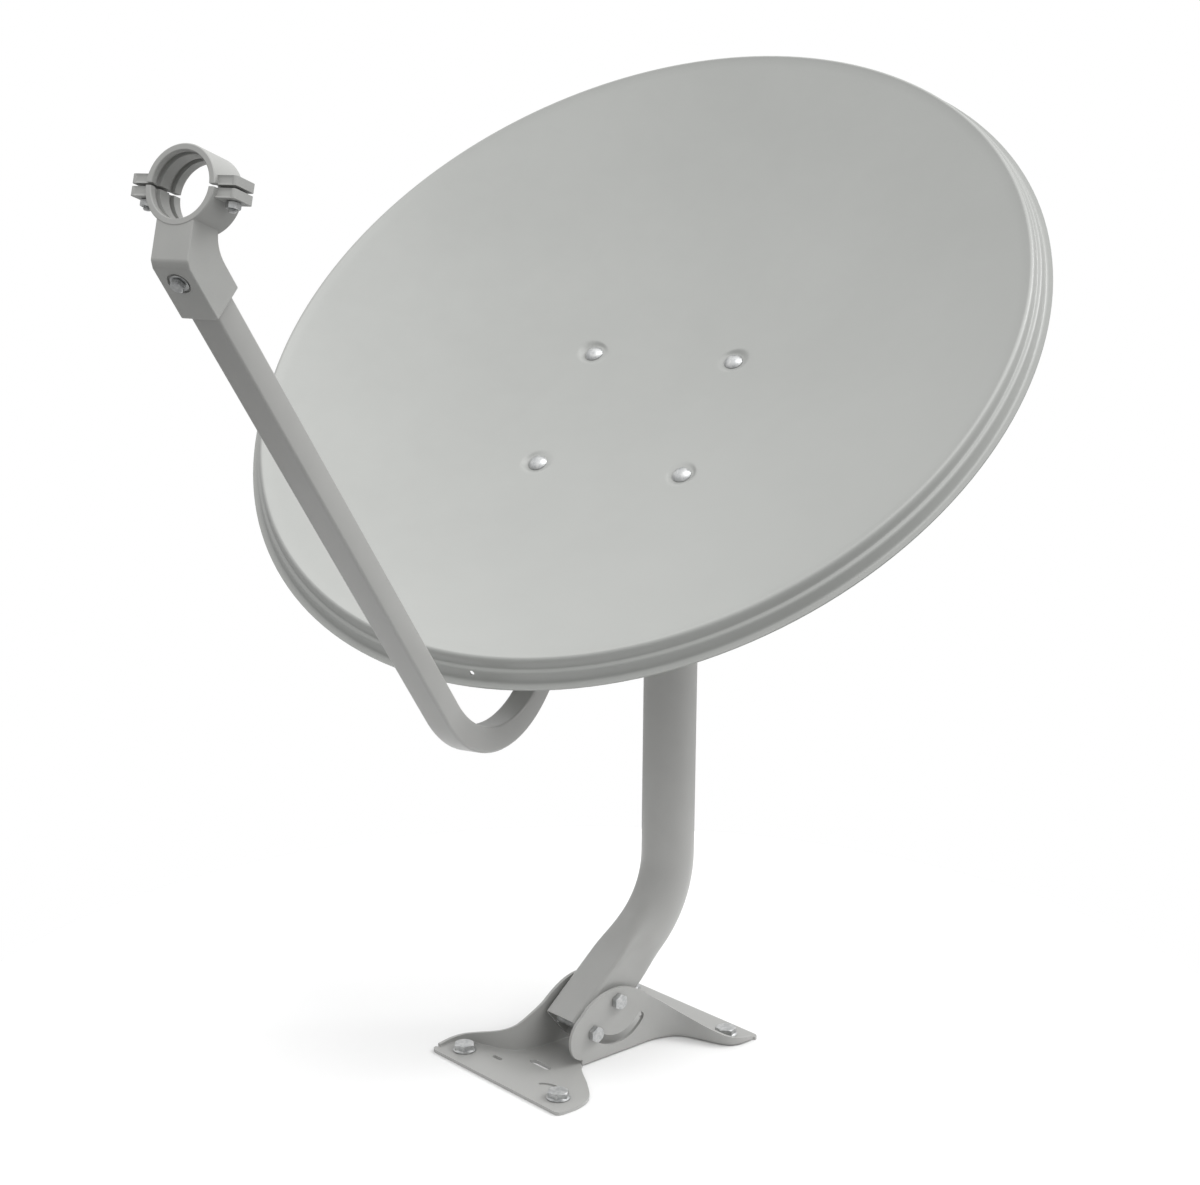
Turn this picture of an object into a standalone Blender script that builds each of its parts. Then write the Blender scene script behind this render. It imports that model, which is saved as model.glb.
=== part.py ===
"""Offset satellite dish on a bent mast with a stamped foot, no receiver fitted.

Metres, +Z up. The origin is the middle of the foot's underside, below the tilt bolt.
The reflector looks toward -Y. The foot is turned about the mast as in the photo.
"""

import math

import bmesh
import bpy
from mathutils import Matrix, Vector

MM = 0.001

# Driving sizes
RIM_HEIGHT = 719 * MM
OFFSET_ANGLE = 25.31
FOCAL = 365 * MM
REFLECTOR_SHEET = 1.2 * MM
RIM_FLARE = 15 * MM
RIM_DEPTH = 18.2 * MM
FACE_BOLT_ACROSS = 132 * MM
FACE_BOLT_UP = 134 * MM
FACE_BOLT_DROP = 44 * MM
WELL_DEPTH = 1.8 * MM
ELEVATION = 51.2
MAST_DIA = 48.3 * MM
MAST_WALL = 2.0 * MM
MAST_TOP = 580 * MM
MAST_REACH = 86 * MM
MAST_BEND = 90 * MM
MAST_LEAN = 40.0
FOOT_TURN = -22.1
FOOT_LENGTH = 243 * MM
FOOT_WIDTH = 175 * MM
FOOT_SHEET = 3.0 * MM
TILT_SLOT_RADIUS = 36 * MM
TILT_RANGE = 100.0
PIVOT_BELOW_TOP = 32 * MM
CHEEK_REACH = 39.4 * MM
BRACKET_RISE = 18 * MM
BRACKET_FALL = 108 * MM
U_BOLT_DROP = 29 * MM
U_BOLT_APART = 58 * MM
LOCK_RADIUS = 60 * MM
LOCK_ANGLE = -40.7
LOWER_RANGE = 48.0
RAISE_RANGE = 7.0
ARM_SIDE = 20 * MM
ARM_WALL = 1.5 * MM
ARM_BEND = 102 * MM
ARM_BACK = 11.5 * MM
ARM_DROP = 380 * MM
ARM_LENGTH = 560 * MM
ARM_FALL = 1.6
FEED_BORE = 40 * MM
FEED_WALL = 4.0 * MM
FEED_LENGTH = 29 * MM
FEED_AHEAD = 32 * MM
FEED_LIFT = 26 * MM
FEED_AIM = 34.4
CLEAR = 0.3 * MM

# Sheet of the two brackets, and the fasteners: shank radius, half across flats, head height, nut height
CRADLE_SHEET = 2.5 * MM
POLE_SHEET = 3.0 * MM
M5 = (2.5 * MM, 4.0 * MM, 3.2 * MM, 4.0 * MM)
M6 = (3.0 * MM, 5.0 * MM, 4.0 * MM, 5.0 * MM)
M8 = (4.0 * MM, 6.5 * MM, 5.3 * MM, 6.5 * MM)
M10 = (5.0 * MM, 8.5 * MM, 6.4 * MM, 8.0 * MM)
HOLE = 0.4 * MM

# Sizes that follow from those above
SPLAY = math.radians(OFFSET_ANGLE)
RIM_B = RIM_HEIGHT / 2
RIM_A = RIM_B * math.cos(SPLAY)
MAST_R = MAST_DIA / 2
PIVOT_HEIGHT = MAST_TOP - PIVOT_BELOW_TOP
OFFSET = 2 * FOCAL * math.tan(SPLAY)


def bowl_depth(x, t):
    """How far the reflecting face lies behind the rim plane, at x across and t up the face."""
    c, s = math.cos(SPLAY), math.sin(SPLAY)
    q = t * c
    b = 2 * q * s + 2 * OFFSET * s + 4 * FOCAL * c
    k = q * q + x * x - RIM_A * RIM_A
    return -2 * k / (b + math.sqrt(b * b - 4 * s * s * k))


BOWL = max(bowl_depth(0, -RIM_B * k / 20) for k in range(8)) + 1.5 * MM
CRADLE_FRONT = -(CHEEK_REACH + CRADLE_SHEET)
RIM_FORWARD = BOWL + REFLECTOR_SHEET + CLEAR - CRADLE_FRONT
RIM_UP = FACE_BOLT_DROP - 10 * MM
FEED_FORWARD = ARM_LENGTH + FEED_AHEAD
EAR_IN = MAST_R + 0.6 * MM
EAR_OUT = EAR_IN + FOOT_SHEET
MAST_TAIL = 41.5 * MM
TILT_HEIGHT = math.hypot(MAST_TAIL, MAST_R) + FOOT_SHEET + 0.5 * MM
WEB_BACK = -(MAST_R + CLEAR)
WEB_FRONT = WEB_BACK - POLE_SHEET
PIVOT_Y = WEB_FRONT - 14.6 * MM
LEG_X = MAST_R + M8[0] + CLEAR
POLE_IN = LEG_X + M8[1] / math.cos(math.pi / 6) + 1.4 * MM
POLE_OUT = POLE_IN + CRADLE_SHEET
CRADLE_IN = POLE_OUT + 0.4 * MM
CRADLE_OUT = CRADLE_IN + CRADLE_SHEET
ARM_HALF = ARM_SIDE / 2
SADDLE_IN = ARM_HALF + 0.4 * MM
SADDLE_OUT = SADDLE_IN + CRADLE_SHEET

for old in list(bpy.data.objects):
    bpy.data.objects.remove(old)
parts = bpy.data.collections.new("satellite_dish")
helpers = bpy.data.collections.new("cutters")
frames = bpy.data.collections.new("joint_frames")
for made in (parts, helpers, frames):
    bpy.context.scene.collection.children.link(made)
helpers.hide_render = True

PAINT = (0.50, 0.515, 0.51)
FACE = (0.60, 0.62, 0.615)
PLASTIC = (0.44, 0.445, 0.435)
ZINC = (0.56, 0.57, 0.58)
DARK = (0.10, 0.10, 0.11)


def frame(name, parent=None, at=(0, 0, 0), turn=(0, 0, 0)):
    empty = bpy.data.objects.new(name, None)
    empty.empty_display_size = 0.03
    frames.objects.link(empty)
    empty.parent = parent
    empty.location = at
    empty.rotation_euler = [math.radians(a) for a in turn]
    return empty


foot_frame = frame("foot_frame", turn=(0, 0, FOOT_TURN))
tilt_axis = frame("tilt_axis", foot_frame, (0, 0, TILT_HEIGHT))
mast_foot = Matrix.Rotation(math.radians(FOOT_TURN), 4, "Z") @ Vector((0, MAST_REACH, 0))
azimuth_axis = frame("azimuth_axis", at=mast_foot)
elevation_axis = frame("elevation_axis", azimuth_axis, (0, PIVOT_Y, PIVOT_HEIGHT), (-ELEVATION, 0, 0))
FEED_UP = -(ARM_DROP + (FEED_FORWARD - 100 * MM) * math.tan(math.radians(ARM_FALL))) + FEED_LIFT
feed_axis = frame("feed_axis", elevation_axis, (0, -FEED_FORWARD, FEED_UP), (FEED_AIM, 0, 0))


def paint(name, colour, metal, rough):
    made_of = bpy.data.materials.new(name)
    made_of.use_nodes = True
    shader = made_of.node_tree.nodes["Principled BSDF"]
    shader.inputs["Base Color"].default_value = (*colour, 1)
    shader.inputs["Metallic"].default_value = metal
    shader.inputs["Roughness"].default_value = rough
    return made_of


def solid(name, bm, parent, look=None, cutter=False, at=None, closed=True):
    """An object from a mesh: one of the parts, or a cutter among the helpers."""
    if closed:
        bmesh.ops.recalc_face_normals(bm, faces=bm.faces)
        if bm.calc_volume(signed=True) < 0:
            bmesh.ops.reverse_faces(bm, faces=bm.faces)
    mesh = bpy.data.meshes.new(name)
    bm.to_mesh(mesh)
    bm.free()
    mesh.shade_smooth()
    mesh.set_sharp_from_angle(angle=math.radians(32))
    obj = bpy.data.objects.new(name, mesh)
    (helpers if cutter else parts).objects.link(obj)
    obj.parent = parent
    obj.matrix_basis = at or Matrix.Identity(4)
    if cutter:
        obj.hide_render = True
        obj.display_type = "WIRE"
    else:
        mesh.materials.append(paint(name, *look))
    return obj


def combine(obj, other, how="DIFFERENCE"):
    step = obj.modifiers.new(other.name, "BOOLEAN")
    step.operation = how
    step.object = other
    step.solver = "EXACT"


def drill(obj, name, bm, at=None):
    combine(obj, solid(name, bm, obj.parent, cutter=True, at=at))


def weld(obj, name, bm, at=None):
    combine(obj, solid(name, bm, obj.parent, cutter=True, at=at), "UNION")


def thicken(obj, sheet):
    """Sheet thickness behind an open surface."""
    step = obj.modifiers.new("sheet", "SOLIDIFY")
    step.thickness, step.offset, step.use_even_offset = sheet, -1, True
    return obj


def turned(name, profile, parent, look=None, steps=12, at=None, cutter=False):
    """A turned object: (radius, height) points, from the top down the outer side, spun round local Z."""
    bm = bmesh.new()
    ring = profile[0] == profile[-1]
    line = [bm.verts.new((r, 0, z)) for r, z in (profile[:-1] if ring else profile)]
    for here, there in zip(line, line[1:] + line[:1] if ring else line[1:]):
        bm.edges.new((here, there))
    obj = solid(name, bm, parent, look, cutter, at, closed=False)
    spin = obj.modifiers.new("turn", "SCREW")
    spin.steps = spin.render_steps = steps
    spin.use_smooth_shade = steps > 6
    spin.use_merge_vertices, spin.merge_threshold = True, 0.00001
    return obj


def meshed(curve, matrix, bm=None):
    """A curve made a welded mesh, placed by the matrix and added to the mesh given."""
    guide = bpy.data.objects.new(curve.name, curve)
    helpers.objects.link(guide)
    made = bpy.data.meshes.new_from_object(guide.evaluated_get(bpy.context.evaluated_depsgraph_get()))
    bpy.data.objects.remove(guide)
    made.transform(matrix)
    bm = bm or bmesh.new()
    bm.from_mesh(made)
    bpy.data.meshes.remove(made)
    bmesh.ops.remove_doubles(bm, verts=bm.verts, dist=0.002 * MM)
    return bm


def polyline(points, closed=False, flat=False):
    """A curve through the points."""
    curve = bpy.data.curves.new("guide", "CURVE")
    curve.dimensions = "2D" if flat else "3D"
    spline = curve.splines.new("POLY")
    spline.points.add(len(points) - 1)
    for point, spot in zip(spline.points, points):
        point.co = (*spot, 0, 1) if len(spot) == 2 else (*spot, 1)
    spline.use_cyclic_u = closed
    return curve


# Where an outline's own two directions and its thickness go, for each axis that it is pushed along
ALONG = {
    "x": Matrix(((0, 0, 1, 0), (1, 0, 0, 0), (0, 1, 0, 0), (0, 0, 0, 1))),
    "y": Matrix(((1, 0, 0, 0), (0, 0, 1, 0), (0, 1, 0, 0), (0, 0, 0, 1))),
    "z": Matrix.Identity(4),
}


def prism(outline, low, high, axis="x", bm=None):
    """The outline, drawn in the two directions other than axis, pushed from low to high along axis."""
    curve = polyline(outline, closed=True, flat=True)
    curve.fill_mode, curve.extrude = "BOTH", abs(high - low) / 2
    return meshed(curve, ALONG[axis] @ Matrix.Translation((0, 0, (low + high) / 2)), bm)


def rod(points, radius):
    """A round bar along the points."""
    curve = polyline(points)
    curve.bevel_depth, curve.bevel_resolution, curve.use_fill_caps = radius, 3, True
    return meshed(curve, Matrix.Identity(4))


def sweep(points, section):
    """A bar of the section along the points."""
    shape = bpy.data.objects.new("section", polyline(section, closed=True, flat=True))
    helpers.objects.link(shape)
    curve = polyline(points)
    curve.bevel_mode, curve.bevel_object, curve.use_fill_caps = "OBJECT", shape, True
    curve.twist_mode = "MINIMUM"
    bm = meshed(curve, Matrix.Identity(4))
    bpy.data.objects.remove(shape)
    return bm


def loft(rings, loop=False, bm=None):
    """A solid over unlike rings of points that all have the same count, capped at both ends or closed round."""
    bm = bm or bmesh.new()
    rows = [[bm.verts.new(p) for p in ring] for ring in rings]
    count = len(rows[0])
    for low, high in zip(rows, rows[1:] + (rows[:1] if loop else [])):
        for i in range(count):
            j = (i + 1) % count
            bm.faces.new((low[i], low[j], high[j], high[i]))
    if not loop:
        bm.faces.new(rows[0][::-1])
        bm.faces.new(rows[-1])
    return bm


def box(x, y, z, bm=None):
    bm = bm or bmesh.new()
    low, high = Vector((x[0], y[0], z[0])), Vector((x[1], y[1], z[1]))
    size = Matrix.Diagonal((*(high - low), 1))
    bmesh.ops.create_cube(bm, size=1, matrix=Matrix.Translation((low + high) / 2) @ size)
    return bm


def circle(radius, count=24, middle=(0, 0)):
    steps = [2 * math.pi * k / count for k in range(count)]
    return [(middle[0] + radius * math.cos(a), middle[1] + radius * math.sin(a)) for a in steps]


def rounded(x, y, radius, steps=3):
    """A rectangle from (-x, -y) to (x, y) with round corners."""
    points = []
    for sx, sy, start in ((1, 1, 0), (-1, 1, 90), (-1, -1, 180), (1, -1, 270)):
        for k in range(steps + 1):
            a = math.radians(start + 90 * k / steps)
            points.append((sx * (x - radius) + radius * math.cos(a), sy * (y - radius) + radius * math.sin(a)))
    return points


def placed(at, along, roll=0.0):
    """A matrix that puts local +Z along the given direction at the given point."""
    turn = Vector((0, 0, 1)).rotation_difference(Vector(along)).to_matrix().to_4x4()
    return Matrix.Translation(at) @ turn @ Matrix.Rotation(math.radians(roll), 4, "Z")


def peg(at, along, radius, length, count=24, bm=None):
    """A cylinder centred on the point."""
    bm = bm or bmesh.new()
    bmesh.ops.create_cone(
        bm, cap_ends=True, segments=count, radius1=radius, radius2=radius, depth=length, matrix=placed(at, along)
    )
    return bm


def bolt(name, parent, at, along, size, length, flange=0.0, roll=0.0):
    """A hex bolt: its shank leaves the head's bearing face at the point and runs along the direction."""
    r, half, head, _ = size
    corner = half / math.cos(math.pi / 6)
    spot = placed(at, along, roll)
    seat = -0.8 * MM if flange else 0.0
    profile = [(0, seat), (corner, seat), (corner, -0.88 * head), (0.93 * corner, -head), (0, -head)]
    obj = turned(name, profile, parent, (ZINC, 0.9, 0.38), 6, spot)
    if flange:
        skirt = [(0, 0), (flange, 0), (flange, -0.6 * MM), (0.97 * flange, -1.5 * MM), (0, -1.5 * MM)]
        combine(obj, turned(f"{name}_flange", skirt, parent, None, 12, spot, cutter=True), "UNION")
    root = -0.4 * head
    weld(obj, f"{name}_shank", peg((0, 0, (length + root) / 2), (0, 0, 1), r, length - root, 12), spot)
    return obj


def nut(name, parent, at, along, size, roll=0.0):
    """A hex nut whose bearing face is at the point, growing along the direction."""
    r, half, _, high = size
    corner = half / math.cos(math.pi / 6)
    spot = placed(at, along, roll)
    obj = turned(name, [(0, high), (corner, high), (corner, 0), (0, 0)], parent, (ZINC, 0.9, 0.38), 6, spot)
    drill(obj, f"{name}_bore", peg((0, 0, high / 2), (0, 0, 1), r + 0.25 * MM, 3 * high, 12), spot)
    return obj


# Reflector: one pressed sheet, bowl, rolled lip, stepped skirt and flared edge
SEGMENTS = 50
RIM_PROFILE = (
    (-1.9, 0.15), (-0.4, -0.45), (1.5, 0.3), (3.0, 3.2), (4.5, 7.6), (7.1, 8.9), (9.4, 14.2), (11.4, 17.2), (15.0, 18.2),
)


def rim_point(flare, back):
    return flare * MM * RIM_FLARE / (15 * MM), back * MM * RIM_DEPTH / (18.2 * MM)


def make_reflector():
    """The face as an open surface grown ring by ring from the middle, then given its sheet."""
    spread = (0.16, 0.32, 0.47, 0.61, 0.74, 0.86, 0.96)
    bm = bmesh.new()
    bmesh.ops.create_circle(bm, cap_ends=True, cap_tris=True, segments=SEGMENTS, radius=1)
    edges = [e for e in bm.edges if e.is_boundary]
    rows = len(spread) + len(RIM_PROFILE)
    for k in range(1, rows):
        grown = bmesh.ops.extrude_edge_only(bm, edges=edges)["geom"]
        ring = [g for g in grown if isinstance(g, bmesh.types.BMVert)]
        bmesh.ops.scale(bm, verts=ring, vec=Vector((1, 1, 1)) * (k + 1) / k)
        edges = [g for g in grown if isinstance(g, bmesh.types.BMEdge) and g.is_boundary]
    for vert in bm.verts:
        k = round(vert.co.length)
        a = math.atan2(-vert.co.x, vert.co.y)
        edge = Vector((RIM_A * math.cos(a), RIM_B * math.sin(a)))
        if k > len(spread):
            flare, depth = rim_point(*RIM_PROFILE[k - len(spread) - 1])
            across, up = edge * (1 + flare / edge.length)
        else:
            across, up = edge * spread[k - 1] if k else (0, 0)
            depth = bowl_depth(across, up)
        vert.co = (across, depth - RIM_FORWARD, RIM_UP + up)
    bmesh.ops.recalc_face_normals(bm, faces=bm.faces)
    middle = min(bm.faces, key=lambda f: (f.calc_center_median().xz - Vector((0, RIM_UP))).length)
    if middle.normal.y > 0:
        bmesh.ops.reverse_faces(bm, faces=bm.faces)
    return thicken(solid("reflector", bm, elevation_axis, (FACE, 0.0, 0.42), closed=False), REFLECTOR_SHEET)


reflector = make_reflector()
FACE_SPOTS = [
    (sx * FACE_BOLT_ACROSS / 2, RIM_UP - FACE_BOLT_DROP + sz * FACE_BOLT_UP / 2) for sz in (1, -1) for sx in (-1, 1)
]


def pad_y(sx, sz):
    """The floor of the pressed well round a face bolt."""
    return bowl_depth(sx, sz - RIM_UP) + WELL_DEPTH - RIM_FORWARD


pads, wells, face_holes = bmesh.new(), bmesh.new(), bmesh.new()
for sx, sz in FACE_SPOTS:
    around_pad = circle(14 * MM, 20, (sx, sz))
    rims = [[(x, bowl_depth(x, z - RIM_UP) - RIM_FORWARD + 0.5 * MM, z) for x, z in around_pad]]
    rims += [[(x, max(y + 0.9 * MM, pad_y(sx, sz) + REFLECTOR_SHEET), z) for x, y, z in rims[0]]]
    loft(rims, bm=pads)
    peg((sx, pad_y(sx, sz) - 10 * MM, sz), (0, 1, 0), 12 * MM, 20 * MM, 20, bm=wells)
    peg((sx, pad_y(sx, sz), sz), (0, 1, 0), M6[0] + HOLE, 16 * MM, 12, bm=face_holes)
bmesh.ops.triangulate(pads, faces=pads.faces)
weld(reflector, "reflector_pads", pads)
drill(reflector, "reflector_wells", wells)
drill(reflector, "reflector_holes", face_holes)
drain_e, drain_h = rim_point(8.6, 12.0)
drain_at = (0, drain_h - RIM_FORWARD, RIM_UP - RIM_B - drain_e)
drill(reflector, "drain_hole", peg(drain_at, (0, -0.4, 1), 2 * MM, 9 * MM, 12))

# Four coach bolts hold the reflector to the cradle
grip = REFLECTOR_SHEET + CRADLE_SHEET + 3 * CLEAR + M6[3] + 2 * MM
coach = [(0, grip), (M6[0], grip), (M6[0], 0), (8.0 * MM, 0), (7.9 * MM, -1.0 * MM), (6.0 * MM, -2.6 * MM)]
coach += [(2.6 * MM, -3.7 * MM), (0, -3.7 * MM)]
for number, (sx, sz) in enumerate(FACE_SPOTS, 1):
    spot = placed((sx, pad_y(sx, sz) - CLEAR, sz), (0, 1, 0))
    turned(f"face_bolt_{number}", coach, elevation_axis, (FACE, 0.3, 0.4), 12, spot)
    under = pad_y(sx, sz) + REFLECTOR_SHEET + CRADLE_SHEET + 2 * CLEAR
    nut(f"face_nut_{number}", elevation_axis, (sx, under, sz), (0, 1, 0), M6)

# Cradle: plate with four pressed seats for the reflector, two cheeks with the elevation slot, a channel for the arm
SEAT_R = 11.5 * MM
TONGUE = 152 * MM
plate_top, plate_low = FACE_SPOTS[0][1] + 20 * MM, FACE_SPOTS[2][1] - 22 * MM
plate_x = FACE_BOLT_ACROSS / 2 + 17 * MM
half_tongue = SADDLE_OUT + 8 * MM
right_side = [
    (plate_x - 14 * MM, plate_top), (plate_x, plate_top - 14 * MM), (plate_x, plate_top - 34 * MM),
    (plate_x - 22 * MM, -10 * MM), (plate_x, plate_low + 34 * MM), (plate_x, plate_low + 14 * MM),
    (plate_x - 14 * MM, plate_low), (half_tongue + 16 * MM, plate_low - 1 * MM), (half_tongue, plate_low - 17 * MM),
    (half_tongue, -TONGUE + 6 * MM), (half_tongue - 6 * MM, -TONGUE),
]
outline = right_side + [(-x, z) for x, z in right_side[::-1]]
cradle = solid(
    "cradle", prism(outline, CRADLE_FRONT, CRADLE_FRONT + CRADLE_SHEET, "y"), elevation_axis, (PAINT, 0.2, 0.45)
)


def around(radius, angle, middle=(0, 0)):
    return (middle[0] + radius * math.cos(math.radians(angle)), middle[1] + radius * math.sin(math.radians(angle)))


SLOT_HIGH, SLOT_LOW = LOCK_ANGLE + RAISE_RANGE + 1, LOCK_ANGLE - LOWER_RANGE - 1


def arc_slot(radius, half, start, end, steps=7):
    """The outline of a slot on an arc about the origin, with round ends."""
    points = [around(radius + half, start + (end - start) * k / steps) for k in range(steps + 1)]
    tip = around(radius, end)
    points += [around(half, end + 180 * k / 5, tip) for k in range(1, 5)]
    points += [around(radius - half, end + (start - end) * k / steps) for k in range(steps + 1)]
    tip = around(radius, start)
    points += [around(half, start + 180 + 180 * k / 5, tip) for k in range(1, 5)]
    return points


bed = CRADLE_FRONT + 0.8 * MM
rise = LOCK_RADIUS + 14 * MM
cheek = [(bed, plate_low + 18 * MM)]
cheek += [around(rise, a) for a in (SLOT_LOW - 16, SLOT_LOW - 4)]
cheek += [around(rise, SLOT_LOW + (SLOT_HIGH - SLOT_LOW) * k / 6) for k in range(1, 6)]
cheek += [around(rise, SLOT_HIGH + a) for a in (3, 12)]
cheek += [around(18 * MM, a) for a in (10, 40, 70)] + [(bed + 18 * MM, 26 * MM), (bed, 40 * MM)]
for side, low, high in (("right", CRADLE_IN, CRADLE_OUT), ("left", -CRADLE_OUT, -CRADLE_IN)):
    weld(cradle, f"cheek_{side}", prism(cheek, low, high, "x"))
channel_top = -84 * MM
wall = [
    (bed, channel_top + 6 * MM), (-ARM_BACK + 8 * MM, channel_top), (-ARM_BACK + 8 * MM, -TONGUE + 8 * MM), (bed, -TONGUE + 2 * MM),
]
for side, low, high in (("right", SADDLE_IN, SADDLE_OUT), ("left", -SADDLE_OUT, -SADDLE_IN)):
    weld(cradle, f"channel_{side}", prism(wall, low, high, "x"))
wide = 4 * CRADLE_OUT
drill(cradle, "cradle_pivot", peg((0, 0, 0), (1, 0, 0), M8[0] + HOLE, wide))
drill(cradle, "cradle_slot", prism(arc_slot(LOCK_RADIUS, M8[0] + HOLE, SLOT_LOW, SLOT_HIGH), -wide / 2, wide / 2, "x"))
seats, seat_backs, cradle_holes = bmesh.new(), bmesh.new(), bmesh.new()
for sx, sz in FACE_SPOTS:
    seat = pad_y(sx, sz) + REFLECTOR_SHEET + CLEAR
    for low, high, radius, count, bm in (
        (seat, CRADLE_FRONT + 0.8 * MM, SEAT_R, 16, seats),
        (seat + CRADLE_SHEET, CRADLE_FRONT + 8 * MM, SEAT_R - CRADLE_SHEET, 16, seat_backs),
        (seat - 5 * MM, CRADLE_FRONT + 8 * MM, M6[0] + HOLE, 12, cradle_holes),
    ):
        peg((sx, (low + high) / 2, sz), (0, 1, 0), radius, high - low, count, bm=bm)
weld(cradle, "cradle_seats", seats)
drill(cradle, "cradle_seat_backs", seat_backs)
drill(cradle, "cradle_holes", cradle_holes)
ARM_BOLT_Z = (channel_top - 14 * MM, -TONGUE + 16 * MM)
arm_holes = bmesh.new()
for z in ARM_BOLT_Z:
    peg((0, -ARM_BACK, z), (1, 0, 0), M6[0] + HOLE, 4 * ARM_SIDE, 12, bm=arm_holes)
drill(cradle, "cradle_arm_holes", arm_holes)
drill(cradle, "cradle_window", prism(rounded(26 * MM, 24 * MM, 8 * MM), CRADLE_FRONT - 5 * MM, CRADLE_FRONT + 8 * MM, "y"))

# Feed arm: square tube, one bend below the reflector
fall = math.radians(ARM_FALL)
forward = Vector((0, -math.cos(fall), -math.sin(fall)))
upright = Vector((0, 0, 1))
corner = Vector((0, -ARM_BACK, -ARM_DROP + 88 * MM * math.tan(fall)))
swing = math.pi / 2 - fall
tangent = ARM_BEND * math.tan(swing / 2)
TOP_Z = channel_top + 2 * MM
centre = corner + forward * tangent + Vector((0, -math.sin(fall), math.cos(fall))) * ARM_BEND
arm_end = corner + forward * (ARM_LENGTH - ARM_BACK)
path = [arm_end]
for k in range(9):
    a = fall + swing * k / 8
    path.append(centre + Vector((0, math.sin(a), -math.cos(a))) * ARM_BEND)
path.append(Vector((0, -ARM_BACK, TOP_Z)))
feed_arm = solid("feed_arm", sweep(path, rounded(ARM_HALF, ARM_HALF, 2.4 * MM, 2)), elevation_axis, (PAINT, 0.2, 0.45))
inside = ARM_HALF - ARM_WALL
through = [arm_end + forward * ARM_SIDE] + path[1:-1] + [path[-1] + upright * ARM_SIDE]
drill(feed_arm, "arm_inside", sweep(through, rounded(inside, inside, 1.2 * MM, 2)))
shaft = bmesh.new()
for z in ARM_BOLT_Z:
    peg((0, -ARM_BACK, z), (1, 0, 0), M6[0] + HOLE, 4 * ARM_SIDE, 12, bm=shaft)
drill(feed_arm, "arm_cross_holes", shaft)
for place_name, z in zip(("upper", "lower"), ARM_BOLT_Z):
    far = SADDLE_OUT + CLEAR
    bolt(f"arm_bolt_{place_name}", elevation_axis, (far, -ARM_BACK, z), (-1, 0, 0), M6, 2 * far + M6[3] + 3 * MM)
    nut(f"arm_nut_{place_name}", elevation_axis, (-far, -ARM_BACK, z), (-1, 0, 0), M6)
plug_in = ARM_HALF - ARM_WALL - CLEAR
plug_body = [(a, b - ARM_BACK) for a, b in rounded(plug_in, plug_in, 1.2 * MM, 2)]
plug_head = [(a, b - ARM_BACK) for a, b in rounded(ARM_HALF, ARM_HALF, 2.4 * MM, 2)]
arm_plug = solid("arm_plug", prism(plug_head, TOP_Z + CLEAR, TOP_Z + 3 * MM, "z"), elevation_axis, (DARK, 0.0, 0.6))
weld(arm_plug, "plug_body", prism(plug_body, TOP_Z - 8 * MM, TOP_Z + 1 * MM, "z"))

# Feed holder: socket over the arm's end, neck and the lower half of the clamp, bored for the receiver
FEED_R = FEED_BORE / 2
FEED_OUT = FEED_R + FEED_WALL
SPLIT = 0.9 * MM
EAR_X = FEED_OUT + 12.6 * MM
EAR_Y = (3 * MM, FEED_LENGTH - 7 * MM)
CLAMP_EAR = 5.6 * MM
SCREW_X = FEED_OUT + 6 * MM
GROOVE_DEEP, GROOVE_WIDE = 1.8 * MM, 4.5 * MM
SOCKET_LENGTH = 38 * MM
SOCKET_FLOOR, SOCKET_ROOF = 3.2 * MM, 4.6 * MM
WELL_FLOOR = 1.6 * MM
HOLDER_HALF = ARM_HALF + SOCKET_FLOOR
SINK_R, SINK_DEEP = 4.6 * MM, 2.2 * MM
WASHER = 1.2 * MM
to_feed = Matrix.Rotation(math.radians(-FEED_AIM), 4, "X") @ Matrix.Translation(-Vector((0, -FEED_FORWARD, FEED_UP)))
arm_down = Vector((0, forward.z, -forward.y))
if arm_down.z > 0:
    arm_down = -arm_down


def half_disc(sign):
    """One half of the clamp's round body before it is bored, axis along +Y from the front face."""
    low = math.asin(SPLIT / FEED_OUT)
    arc = [low + (math.pi - 2 * low) * k / 16 for k in range(17)]
    return prism([(FEED_OUT * math.cos(a), sign * FEED_OUT * math.sin(a)) for a in arc], 0, FEED_LENGTH, "y")


def ears(sign):
    bm = bmesh.new()
    for side in (-1, 1):
        across = sorted((side * (FEED_OUT - 2.2 * MM), side * EAR_X))
        box(across, EAR_Y, sorted((sign * SPLIT, sign * (SPLIT + CLAMP_EAR))), bm=bm)
    return bm


def receiver_bore(name):
    """The bore with its two grooves, as one turned cutter along +Y."""
    profile = []
    for start in (0.15 * FEED_LENGTH, 0.61 * FEED_LENGTH):
        end = start + GROOVE_WIDE
        profile += [(FEED_R, start), (FEED_R + GROOVE_DEEP, start), (FEED_R + GROOVE_DEEP, end), (FEED_R, end)]
    low, high = -5 * MM, FEED_LENGTH + 5 * MM
    profile = [(0, low), (FEED_R, low)] + profile + [(FEED_R, high), (0, high)]
    return turned(name, profile[::-1], feed_axis, None, 28, placed((0, 0, 0), (0, 1, 0)), cutter=True)


def beside_arm(ahead, below):
    """A point of the holder's side outline, from the arm's end along the arm and down from its middle."""
    return (to_feed @ (arm_end + forward * ahead + arm_down * below)).yz


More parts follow.
